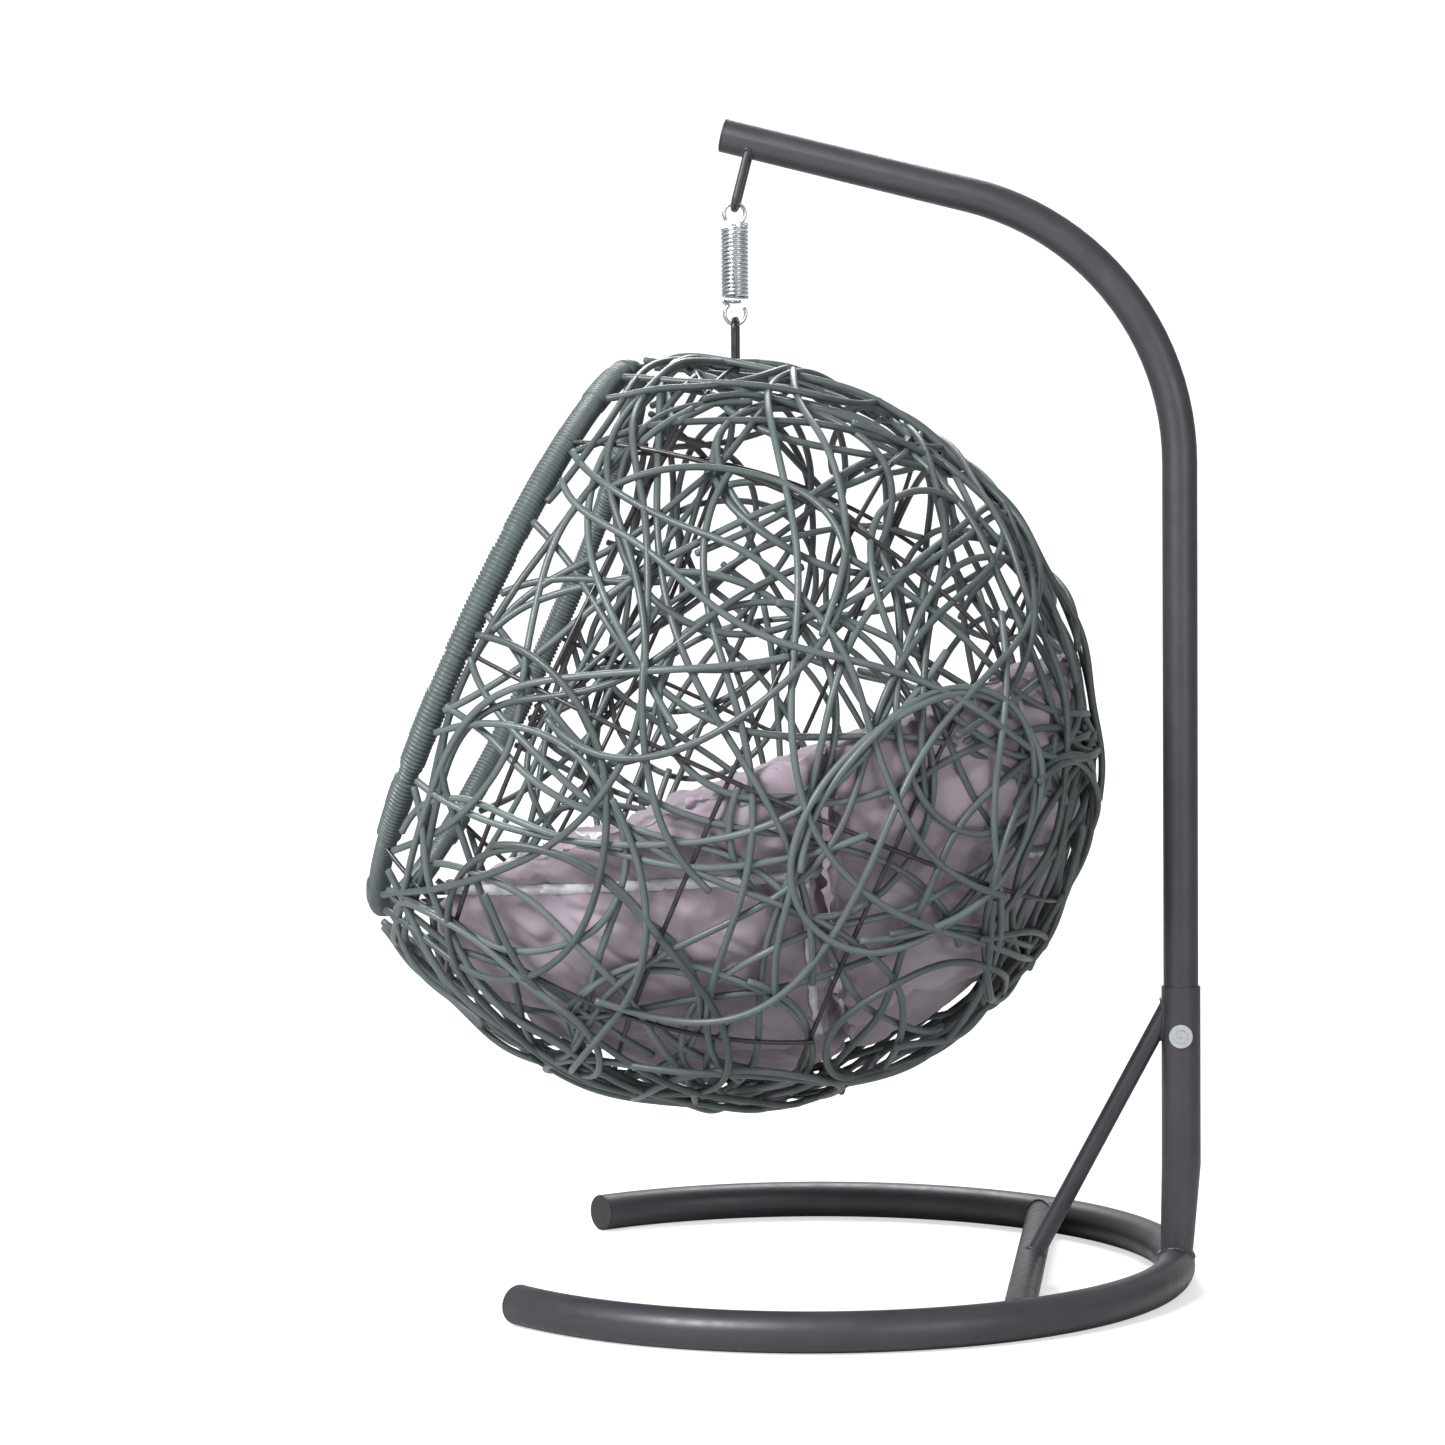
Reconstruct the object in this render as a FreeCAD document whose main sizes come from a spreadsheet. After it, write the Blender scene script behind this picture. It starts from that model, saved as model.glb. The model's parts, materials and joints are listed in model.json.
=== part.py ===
"""Hanging egg chair: a woven egg-shaped basket on a spring, hung from a bent tube stand.

Millimetres and degrees. The chair stands on z = 0, its open front faces -Y and the mast stands
at +Y. The origin is on the floor at the middle of the whole chair.

The stand is a C-shaped ring of tube with a crossbar, a lower post with a brace, and a mast that
plugs into the post and bends over to hold a hook. A spring with an open ring at each end hangs
from the hook and carries the basket by its loop. The basket is an egg (an ellipsoid) cut open in
front: a rim hoop, three frame rings, seven ribs, a woven skin and two cushions.
"""
import FreeCAD, Part
import Sketcher
import math
import os

SIZES = (
    # base of the stand
    ("ring_centre_y", 45.2, "centre of the base ring, behind the origin"),
    ("ring_radius", 601, "base ring, to the middle of its tube"),
    ("ring_od", 63.5, "base ring tube, outside"),
    ("ring_wall", 1.8, "base ring tube wall"),
    ("ring_sweep", 269.8, "how far round the base ring goes, open at the front"),
    ("crossbar_od", 51, "crossbar tube, outside"),
    ("crossbar_wall", 1.6, "crossbar tube wall"),
    ("crossbar_setback", 360, "crossbar behind the centre of the ring"),
    # lower post and brace
    ("post_gap", 0.1, "gap all round between the mast and the lower post"),
    ("post_wall", 3.3, "lower post wall"),
    ("post_top_z", 495, "top of the lower post"),
    ("post_taper_z", 200, "where the lower post begins to narrow"),
    ("post_foot_od", 52, "lower post where it meets the ring, outside"),
    ("brace_od", 30, "brace tube, outside"),
    ("brace_wall", 1.6, "brace tube wall"),
    ("brace_aim_z", 500, "height at which the brace's axis crosses the mast's axis"),
    # mast
    ("mast_lean", 9, "mast axis behind the middle of the ring's tube"),
    ("mast_od", 57.5, "mast tube, outside"),
    ("mast_wall", 1.8, "mast tube wall"),
    ("mast_bottom_z", 335, "bottom end of the mast, inside the lower post"),
    ("bend_start_z", 1356, "where the mast begins to bend"),
    ("bend_radius", 458.5, "mast bend, to the middle of the tube"),
    ("arm_slope", 14.7, "rise of the arm towards its tip"),
    ("arm_length", 417, "straight part of the arm, after the bend"),
    # mast bolt
    ("bolt_z", 415.6, "height of the bolt through the post and the mast"),
    ("bolt_diameter", 10, "bolt shank"),
    ("bolt_clearance", 0.1, "gap all round the bolt in its holes"),
    ("head_diameter", 19.5, "bolt head"),
    ("head_height", 5.5, "bolt head"),
    ("socket_size", 6, "hexagon socket in the bolt head, across flats"),
    ("socket_depth", 3, "hexagon socket in the bolt head"),
    ("washer_diameter", 38.5, "saddle washer"),
    ("washer_rise", 3, "saddle washer above the post"),
    ("recess_diameter", 25, "recess in the saddle washer for the head or nut"),
    ("recess_depth", 1.6, "recess in the saddle washer"),
    ("nut_size", 17, "nut, across flats"),
    ("nut_height", 8, "nut"),
    ("bolt_spare", 3, "bolt beyond the nut"),
    # end caps
    ("cap_flange", 5, "end cap, part outside the tube"),
    ("cap_plug", 9, "end cap, part inside the tube"),
    ("cap_gap", 0.1, "gap all round a cap's plug in its tube"),
    ("cap_edge", 1.5, "rounding of an end cap's outer edge"),
    # hanger hook
    ("hook_rod", 12, "hanger hook rod"),
    ("hook_bend", 18, "hanger hook bend, to the middle of the rod"),
    ("hook_inset", 44, "hanger hook behind the end of the arm tube"),
    ("hook_drop", 114, "bottom of the hanger hook's rod below the arm's axis"),
    # spring
    ("wire", 6, "spring wire"),
    ("coil_od", 45, "spring coil, outside"),
    ("coil_pitch", 6.7, "spring coil, from turn to turn"),
    ("coil_turns", 17, "spring coil turns"),
    ("spring_ring_od", 41, "open ring at each end of the spring, outside"),
    ("ring_start", 50, "where an end ring starts, below level on the near side"),
    ("ring_reach", 265, "how far round an end ring goes"),
    ("lead_turn", 110, "flat turn that joins an end ring to the coil"),
    ("lower_ring_gap", 4, "lower end ring below the coil"),
    ("link_gap", 0.05, "gap where one link hangs in the next"),
    ("coil_gap", 0.1, "gap between the coil and each end of the spring"),
    # basket: the outside of the weave is an egg with these half lengths
    ("egg_depth", 669, "half depth of the egg, along the axis of the opening"),
    ("egg_height", 629, "half height of the egg"),
    ("egg_width", 560, "half width of the egg"),
    ("basket_tilt", 25, "tilt of the basket's axis, so that it faces up"),
    ("basket_forward", 51.6, "centre of the egg in front of the hanging line"),
    ("loop_above_centre", 687.5, "top of the basket's loop above the centre of the egg"),
    ("opening_depth", 369, "opening in front of the centre of the egg"),
    ("skin", 3, "solid thickness that stands for the open weave"),
    ("skin_gap", 3, "weave behind the rim winding"),
    ("rim_inset", 32, "rim hoop inside the egg's surface"),
    ("hoop_od", 22, "rim hoop tube, outside"),
    ("hoop_wall", 1.2, "rim hoop tube wall"),
    ("winding", 5.5, "thickness of the cane wound round the rim hoop"),
    ("rod_diameter", 8, "frame ring and rib rod"),
    ("ring_inset", 28, "frame rings inside the egg's surface"),
    ("rod_gap", 0.2, "gap between a rib and the rings it crosses"),
    ("middle_ring_z", -110, "middle frame ring, along the basket's axis"),
    ("rear_ring_z", -380, "rear frame ring, along the basket's axis"),
    ("loop_rod", 11, "basket loop rod"),
    ("loop_bend", 16, "basket loop bend, to the middle of the rod"),
    ("loop_hole", 34, "radius of the opening in the weave round the loop"),
    # cushions
    ("cushion_inset", 34, "outside of the cushions inside the egg's surface"),
    ("cushion_lift", 40, "cushions above the bottom of the weave"),
    ("cushion_thickness", 110, "seat and back cushion"),
    ("cushion_setback", 95, "front of the cushions behind the opening"),
    ("cushion_drop", 71, "top of the cushions below the centre of the egg"),
    ("cushion_slope", 21, "rise of the cushions' top edge towards the back"),
    ("seam_setback", 235, "seam between the cushions behind the centre of the egg"),
    ("seam_gap", 2, "gap between the cushions"),
    ("cover", 3, "cushion cover, hollow inside"),
)

# sizes worked out from the driving ones, in the order in which they need each other
WORKED = (
    ("ring_tube_r", "Sizes.ring_od / 2"),
    ("ring_back_y", "Sizes.ring_centre_y + Sizes.ring_radius"),
    ("mast_y", "ring_back_y + Sizes.mast_lean"),
    ("ring_end_turn", "90 - Sizes.ring_sweep / 2"),
    ("crossbar_y", "Sizes.ring_centre_y + Sizes.crossbar_setback"),
    ("crossbar_half", "sqrt(Sizes.ring_radius ^ 2 - Sizes.crossbar_setback ^ 2)"),
    ("post_bore_r", "Sizes.mast_od / 2 + Sizes.post_gap"),
    ("post_r", "post_bore_r + Sizes.post_wall"),
    ("brace_run", "mast_y - crossbar_y"),
    ("brace_rise", "Sizes.brace_aim_z - ring_tube_r"),
    ("brace_lean", "atan(brace_run / brace_rise) / 1 deg"),
    ("slope_sin", "sin(Sizes.arm_slope * 1 deg)"),
    ("slope_cos", "cos(Sizes.arm_slope * 1 deg)"),
    ("bend_centre_y", "mast_y - Sizes.bend_radius"),
    ("arm_start_y", "bend_centre_y + Sizes.bend_radius * slope_sin"),
    ("arm_start_z", "Sizes.bend_start_z + Sizes.bend_radius * slope_cos"),
    ("arm_tip_y", "arm_start_y - Sizes.arm_length * slope_cos"),
    ("arm_tip_z", "arm_start_z + Sizes.arm_length * slope_sin"),
    # the hanging line goes straight down from the bottom of the hanger hook
    ("hang_y", "arm_tip_y + Sizes.hook_inset * slope_cos - Sizes.hook_drop * slope_sin"),
    ("hang_z", "arm_tip_z - Sizes.hook_inset * slope_sin - Sizes.hook_drop * slope_cos"),
    ("spring_ring_r", "(Sizes.spring_ring_od - Sizes.wire) / 2"),
    ("upper_contact", "(Sizes.hook_rod + Sizes.wire) / 2 + Sizes.link_gap"),
    ("upper_ring_z", "hang_z + upper_contact - spring_ring_r"),
    ("coil_top_z", "upper_ring_z - Sizes.spring_ring_od / 2"),
    ("coil_r", "(Sizes.coil_od - Sizes.wire) / 2"),
    ("coil_length", "Sizes.coil_turns * Sizes.coil_pitch"),
    ("coil_start_z", "coil_top_z - Sizes.coil_gap - Sizes.wire / 2 - coil_length"),
    ("coil_bottom_z", "coil_start_z - Sizes.wire / 2 - Sizes.coil_gap"),
    ("lower_ring_z", "coil_bottom_z - Sizes.lower_ring_gap - Sizes.spring_ring_od / 2"),
    ("lower_contact", "(Sizes.wire + Sizes.loop_rod) / 2 + Sizes.link_gap"),
    ("loop_top_z", "lower_ring_z - spring_ring_r + lower_contact"),
    ("basket_y", "hang_y - Sizes.basket_forward"),
    ("basket_z", "loop_top_z - Sizes.loop_above_centre"),
    ("tilt_sin", "sin(Sizes.basket_tilt * 1 deg)"),
    ("tilt_cos", "cos(Sizes.basket_tilt * 1 deg)"),
    # the opening and the rim hoop
    ("opening_scale", "sqrt(1 - (Sizes.opening_depth / Sizes.egg_depth) ^ 2)"),
    ("rim_height", "Sizes.egg_height * opening_scale - Sizes.rim_inset"),
    ("rim_width", "Sizes.egg_width * opening_scale - Sizes.rim_inset"),
    ("hoop_r", "Sizes.hoop_od / 2"),
    ("winding_r", "hoop_r + Sizes.winding"),
    # the egg on which the rings lie, and the one a rod further out for the ribs
    ("rings_depth", "Sizes.egg_depth - Sizes.ring_inset"),
    ("rings_height", "Sizes.egg_height - Sizes.ring_inset"),
    ("rings_width", "Sizes.egg_width - Sizes.ring_inset"),
    ("rib_step", "Sizes.rod_diameter + Sizes.rod_gap"),
    ("ribs_depth", "rings_depth + rib_step"),
    ("ribs_height", "rings_height + rib_step"),
    ("ribs_width", "rings_width + rib_step"),
    ("slant_reach", "sqrt((ribs_width ^ 2 + ribs_height ^ 2) / 2)"),
    ("slant_turn", "atan(ribs_width / ribs_height) / 1 deg"),
    # the front frame ring passes under the basket's loop: where the hanging line cuts its egg
    ("line_a", "tilt_cos ^ 2 / rings_height ^ 2 + tilt_sin ^ 2 / rings_depth ^ 2"),
    ("line_b", "2 * Sizes.basket_forward * tilt_sin * tilt_cos"
               " * (1 / rings_height ^ 2 - 1 / rings_depth ^ 2)"),
    ("line_c", "Sizes.basket_forward ^ 2"
               " * (tilt_sin ^ 2 / rings_height ^ 2 + tilt_cos ^ 2 / rings_depth ^ 2) - 1"),
    ("loop_foot", "(sqrt(line_b ^ 2 - 4 * line_a * line_c) - line_b) / (2 * line_a)"),
    ("front_ring_z", "loop_foot * tilt_sin - Sizes.basket_forward * tilt_cos"),
    ("loop_leg", "Sizes.loop_above_centre - Sizes.loop_bend - loop_foot"),
    ("skin_front_z", "Sizes.opening_depth - winding_r - Sizes.skin_gap"),
)

BEND_STEP = 30  # degrees round an ellipse that two bends of a rod cover
BIG = 3000  # side of the blocks that only cut away one side of something
X_AXIS = FreeCAD.Vector(1, 0, 0)
Y_AXIS = FreeCAD.Vector(0, 1, 0)
Z_AXIS = FreeCAD.Vector(0, 0, 1)

doc = FreeCAD.newDocument("hanging_egg_chair")
nodes = []


# ---------------------------------------------------------------- sheets and small helpers

def fill_sizes():
    """Write the driving dimensions as plain numbers with aliases."""
    sheet = doc.addObject("Spreadsheet::Sheet", "Sizes")
    for row, (alias, value, note) in enumerate(SIZES, start=1):
        sheet.set(f"A{row}", note)
        sheet.set(f"B{row}", str(value))
        sheet.setAlias(f"B{row}", alias)
    return sheet


def fill_worked():
    """Write the formulas for the sizes that follow from the driving ones."""
    sheet = doc.addObject("Spreadsheet::Sheet", "Worked")
    for row, (alias, formula) in enumerate(WORKED, start=1):
        sheet.set(f"A{row}", "=" + formula)
        sheet.setAlias(f"A{row}", alias)
    return sheet


def bind(thing, **formulas):
    """Bind properties to formulas; an underscore in a name stands for a dot."""
    for name, formula in formulas.items():
        thing.setExpression(name.replace("_", "."), formula)


def turn(thing, axis, angle=0.0, formula=None):
    """Turn an object about an axis by a fixed angle or by a formula in degrees."""
    thing.Placement = FreeCAD.Placement(FreeCAD.Vector(), FreeCAD.Rotation(axis, angle or 1))
    if formula:
        thing.setExpression("Placement.Rotation.Angle", f"({formula}) * 1 deg")


def node(thing, label):
    """Name an object as a finished sub-part."""
    thing.Label = label
    nodes.append(thing)
    return thing


def cylinder(name, radius, height):
    """Make a cylinder along Z from formulas."""
    made = doc.addObject("Part::Cylinder", name)
    bind(made, Radius=radius, Height=height)
    return made


def torus(name, radius, tube_radius, sweep):
    """Make part of a torus about Z from formulas; the sweep starts at +X."""
    made = doc.addObject("Part::Torus", name)
    bind(made, Radius1=radius, Radius2=tube_radius, Angle3=sweep)
    return made


def block(name, length, width, height):
    """Make a box centred on its own X and Y, from z = 0 up."""
    made = doc.addObject("Part::Box", name)
    made.Length, made.Width, made.Height = length, width, height
    made.Placement.Base = FreeCAD.Vector(-length / 2, -width / 2, 0)
    return made


def cut(name, base, tool):
    """Take one object away from another."""
    made = doc.addObject("Part::Cut", name)
    made.Base, made.Tool = base, tool
    return made


def common(name, base, tool):
    """Keep what two objects share."""
    made = doc.addObject("Part::Common", name)
    made.Base, made.Tool = base, tool
    return made


def fuse(name, shapes):
    """Join several objects."""
    made = doc.addObject("Part::MultiFuse", name)
    made.Shapes = shapes
    return made


def ellipsoid(name, inset):
    """Make the basket's egg, smaller by a formula, with its opening towards +Z."""
    made = doc.addObject("Part::Ellipsoid", name)
    bind(made, Radius1=f"Sizes.egg_depth - ({inset})", Radius2=f"Sizes.egg_width - ({inset})",
         Radius3=f"Sizes.egg_height - ({inset})")
    return made


def bend(start, heading, end, leaving, radius):
    """One circular bend of round rod in the XY plane, turning left from start to end."""
    turned = heading.getAngle(leaving)
    bend_radius = (end - start).Length / 2 / math.sin(turned / 2)
    outward = heading.cross(Z_AXIS)
    made = Part.makeTorus(bend_radius, radius, FreeCAD.Vector(), Z_AXIS, 0, 360,
                          math.degrees(turned))
    made.Placement = FreeCAD.Placement(
        start - outward * bend_radius,
        FreeCAD.Rotation(Z_AXIS, math.degrees(math.atan2(outward.y, outward.x))))
    return made


def rod_loop(name, half_x, half_y, radius, last=360.0):
    """Bend a round rod round an ellipse in the XY plane, from +X to an angle, from its half axes.

    Two circular bends that meet smoothly follow the ellipse over each short step, as a rod is
    really bent, so its surface is made of plain bends.
    """
    count = math.ceil(last / BEND_STEP)
    stops = []
    for step in range(count + 1):
        angle = math.radians(last * step / count)
        point = FreeCAD.Vector(half_x * math.cos(angle), half_y * math.sin(angle), 0)
        heading = FreeCAD.Vector(-half_x * math.sin(angle), half_y * math.cos(angle), 0)
        stops.append((point, heading.normalize()))
    bends = []
    for (start, heading), (end, leaving) in zip(stops, stops[1:]):
        gap, both = end - start, heading + leaving
        turning = 2 * (1 - heading.dot(leaving))
        ahead = gap.dot(both)
        reach = (math.sqrt(ahead ** 2 + turning * gap.dot(gap)) - ahead) / turning
        joint = (start + end + (heading - leaving) * reach) * 0.5
        middle = (gap - both * reach).normalize()
        bends.append(bend(start, heading, joint, middle, radius))
        bends.append(bend(joint, middle, end, leaving, radius))
    made = doc.addObject("Part::Feature", name)
    made.Shape = bends[0].multiFuse(bends[1:]).Solids[0]
    return made


def hang(thing, rise="0"):
    """Place an object that was made about the egg's centre, with its opening towards +Z."""
    turn(thing, X_AXIS, 65, "90 - Sizes.basket_tilt")
    bind(thing, Placement_Base_y="Worked.basket_y", Placement_Base_z=f"Worked.basket_z + {rise}")
    return thing


def plane_of(body, role):
    """Find one of a body's own origin planes."""
    return next(item for item in body.Origin.OriginFeatures if item.Role == role)


def sketch_on(body, role, name):
    """Start a sketch on one of a body's origin planes."""
    made = body.newObject("Sketcher::SketchObject", name)
    made.AttachmentSupport = (plane_of(body, role), [""])
    made.MapMode = "FlatFace"
    return made


def circle_sketch(body, name, diameters, role="XY_Plane"):
    """Draw circles about the origin whose diameters are formulas."""
    made = sketch_on(body, role, name)
    for number, formula in enumerate(diameters):
        start = 5.0 + number
        index = made.addGeometry(Part.Circle(FreeCAD.Vector(), Z_AXIS, start), False)
        made.addConstraint(Sketcher.Constraint("Coincident", index, 3, -1, 1))
        size = made.addConstraint(Sketcher.Constraint("Diameter", index, 2 * start))
        made.setExpression(f"Constraints[{size}]", formula)
    return made


def hexagon_sketch(body, name, across_flats):
    """Draw a hexagon about the origin from its size across flats, a formula."""
    made = sketch_on(body, "XY_Plane", name)
    corners = [FreeCAD.Vector(5 * math.cos(step * math.pi / 3), 5 * math.sin(step * math.pi / 3))
               for step in range(6)]
    for step in range(6):
        made.addGeometry(Part.LineSegment(corners[step], corners[(step + 1) % 6]), False)
    ring = made.addGeometry(Part.Circle(FreeCAD.Vector(), Z_AXIS, 5), True)
    made.addConstraint(Sketcher.Constraint("Coincident", ring, 3, -1, 1))
    for step in range(6):
        made.addConstraint(Sketcher.Constraint("Coincident", step, 2, (step + 1) % 6, 1))
        made.addConstraint(Sketcher.Constraint("PointOnObject", step, 1, ring))
    for step in range(5):
        made.addConstraint(Sketcher.Constraint("Equal", step, step + 1))
    made.addConstraint(Sketcher.Constraint("PointOnObject", 0, 1, -1))
    size = made.addConstraint(Sketcher.Constraint("Diameter", ring, 10))
    made.setExpression(f"Constraints[{size}]", f"({across_flats}) / cos(30 deg)")
    return made


def pad(body, name, sketch, length, backwards=False):
    """Pad a sketch by a formula."""
    made = body.newObject("PartDesign::Pad", name)
    made.Profile = sketch
    made.Reversed = backwards
    made.setExpression("Length", length)
    sketch.Visibility = False
    body.Tip = made
    return made


def pocket(body, name, sketch, length):
    """Cut a sketch into the body towards -Z of its plane, and make sure that it did cut."""
    doc.recompute()
    before = body.Shape.Volume
    made = body.newObject("PartDesign::Pocket", name)
    made.Profile = sketch
    made.setExpression("Length", length)
    body.Tip = made
    doc.recompute()
    if body.Shape.Volume >= before:
        raise RuntimeError(f"{name} cut nothing")
    return made


# ---------------------------------------------------------------- stand

def tube_run(name, radius):
    """The mast's path as one solid: a straight post, the bend and the sloping arm."""
    post = cylinder(name + "_post", radius, "Sizes.bend_start_z - Sizes.mast_bottom_z")
    bind(post, Placement_Base_y="Worked.mast_y", Placement_Base_z="Sizes.mast_bottom_z")
    bend = torus(name + "_bend", "Sizes.bend_radius", radius, "90 - Sizes.arm_slope")
    # turned so that the sweep starts level at +Y and rises over the chair
    bend.Placement.Rotation = FreeCAD.Rotation(Y_AXIS, Z_AXIS, X_AXIS, "XYZ")
    bind(bend, Placement_Base_y="Worked.bend_centre_y", Placement_Base_z="Sizes.bend_start_z")
    arm = cylinder(name + "_arm", radius, "Sizes.arm_length")
    turn(arm, X_AXIS, 75, "90 - Sizes.arm_slope")
    bind(arm, Placement_Base_y="Worked.arm_start_y", Placement_Base_z="Worked.arm_start_z")
    return fuse(name, [post, bend, arm])


def bolt_hole(name):
    """A cylinder across the chair where the mast bolt goes."""
    made = cylinder(name, "Sizes.bolt_diameter / 2 + Sizes.bolt_clearance",
                    "4 * Worked.post_r")
    turn(made, Y_AXIS, 90)
    bind(made, Placement_Base_x="-2 * Worked.post_r", Placement_Base_y="Worked.mast_y",
         Placement_Base_z="Sizes.bolt_z")
    return made


def ring_torus(name, tube_radius):
    """The base ring's tube as a solid, open at the front."""
    made = torus(name, "Sizes.ring_radius", tube_radius, "Sizes.ring_sweep")
    turn(made, Z_AXIS, -45, "Worked.ring_end_turn")
    bind(made, Placement_Base_y="Sizes.ring_centre_y", Placement_Base_z="Worked.ring_tube_r")
    return made


def crossbar_cylinder(name, radius):
    """The crossbar's tube as a solid, from one side of the ring to the other."""
    made = cylinder(name, radius, "2 * Worked.crossbar_half")
    turn(made, Y_AXIS, 90)
    bind(made, Placement_Base_x="-Worked.crossbar_half", Placement_Base_y="Worked.crossbar_y",
         Placement_Base_z="Worked.ring_tube_r")
    return made


def post_solid(name, inside):
    """The lower post as a solid, smaller all round by a formula: straight, then narrowing."""
    top = cylinder(name + "_top", f"Worked.post_r - {inside}",
                   "Sizes.post_top_z - Sizes.post_taper_z")
    bind(top, Placement_Base_y="Worked.mast_y", Placement_Base_z="Sizes.post_taper_z")
    waist = doc.addObject("Part::Circle", name + "_waist")
    bind(waist, Radius=f"Worked.post_r - {inside}", Placement_Base_y="Worked.mast_y",
         Placement_Base_z="Sizes.post_taper_z")
    foot = doc.addObject("Part::Circle", name + "_foot")
    bind(foot, Radius=f"Sizes.post_foot_od / 2 - {inside}", Placement_Base_y="Worked.ring_back_y",
         Placement_Base_z="Worked.ring_tube_r")
    lower = doc.addObject("Part::Loft", name + "_lower")
    lower.Sections = [foot, waist]
    lower.Solid = True
    lower.Ruled = True
    return fuse(name, [top, lower])


def brace_cylinder(name, radius):
    """The brace's tube as a solid, from the crossbar's axis to a point inside the post."""
    made = cylinder(name, radius,
                    "sqrt(Worked.brace_run ^ 2 + Worked.brace_rise ^ 2) - Worked.post_r")
    turn(made, X_AXIS, -28, "-Worked.brace_lean")
    bind(made, Placement_Base_y="Worked.crossbar_y", Placement_Base_z="Worked.ring_tube_r")
    return made


def end_cap(label, tube_od, tube_wall):
    """A plastic plug with a flange; its flange faces -Y and its plug +Y."""
    body = doc.addObject("PartDesign::Body", label + "_body")
    flange_sketch = circle_sketch(body, label + "_disc", [tube_od], "XZ_Plane")
    flange = pad(body, label + "_flange", flange_sketch, "Sizes.cap_flange")
    doc.recompute()
    outer_edges = [f"Edge{number}" for number, edge in enumerate(body.Shape.Edges, start=1)
                   if edge.Closed and edge.CenterOfMass.y < -1e-3]
    rounding = body.newObject("PartDesign::Fillet", label + "_edge")
    rounding.Base = (flange, outer_edges)
    rounding.setExpression("Radius", "Sizes.cap_edge")
    body.Tip = rounding
    plug_sketch = circle_sketch(
        body, label + "_round", [f"{tube_od} - 2 * ({tube_wall} + Sizes.cap_gap)"], "XZ_Plane")
    pad(body, label + "_plug", plug_sketch, "Sizes.cap_plug", True)
    return node(body, label)


def make_base():
    """Ring, crossbar and the two caps of the ring's open ends."""
    outer = ring_torus("ring_outer", "Worked.ring_tube_r")
    inner = ring_torus("ring_inner", "Worked.ring_tube_r - Sizes.ring_wall")
    node(cut("ring_tube", outer, inner), "base_ring")
    bar = crossbar_cylinder("crossbar_outer", "Sizes.crossbar_od / 2")
    bore = crossbar_cylinder("crossbar_bore", "Sizes.crossbar_od / 2 - Sizes.crossbar_wall")
    node(cut("crossbar_tube", cut("crossbar_pipe", bar, bore), outer), "base_crossbar")
    for side, sign in (("right", 1), ("left", -1)):
        cap = end_cap(f"ring_end_cap_{side}", "Sizes.ring_od", "Sizes.ring_wall")
        turn(cap, Z_AXIS, -45 * sign, f"{sign} * Worked.ring_end_turn")
        bind(cap, Placement_Base_x=f"{sign} * Sizes.ring_radius * cos(Worked.ring_end_turn * 1 deg)",
             Placement_Base_y="Sizes.ring_centre_y"
             " + Sizes.ring_radius * sin(Worked.ring_end_turn * 1 deg)",
             Placement_Base_z="Worked.ring_tube_r")
    return outer, bar


def make_post(ring_solid, bar_solid):
    """Lower post on the back of the ring, and the brace from the crossbar up to it."""
    outer = post_solid("post_outer", "0")
    inner = post_solid("post_inner", "Sizes.post_wall")
    tube = cut("post_tube", outer, inner)
    on_ring = cut("post_on_ring", tube, ring_solid)
    node(cut("post_drilled", on_ring, bolt_hole("post_hole")), "lower_post")
    brace = brace_cylinder("brace_outer", "Sizes.brace_od / 2")
    bore = brace_cylinder("brace_bore", "Sizes.brace_od / 2 - Sizes.brace_wall")
    ends = fuse("brace_ends", [outer, bar_solid])
    node(cut("brace_tube", cut("brace_pipe", brace, bore), ends), "brace")
    return outer


def make_mast():
    """Bent mast and the cap in the tip of its arm."""
    outer = tube_run("mast_outer", "Sizes.mast_od / 2")
    inner = tube_run("mast_inner", "Sizes.mast_od / 2 - Sizes.mast_wall")
    node(cut("mast_drilled", cut("mast_tube", outer, inner), bolt_hole("mast_hole")), "mast")
    cap = end_cap("arm_end_cap", "Sizes.mast_od", "Sizes.mast_wall")
    turn(cap, X_AXIS, -14.7, "-Sizes.arm_slope")
    bind(cap, Placement_Base_y="Worked.arm_tip_y", Placement_Base_z="Worked.arm_tip_z")
    return outer


def bolt_seat():
    """Where the bolt's head and nut sit, from the mast's axis."""
    return "Worked.post_r + Sizes.washer_rise - Sizes.recess_depth"


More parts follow.
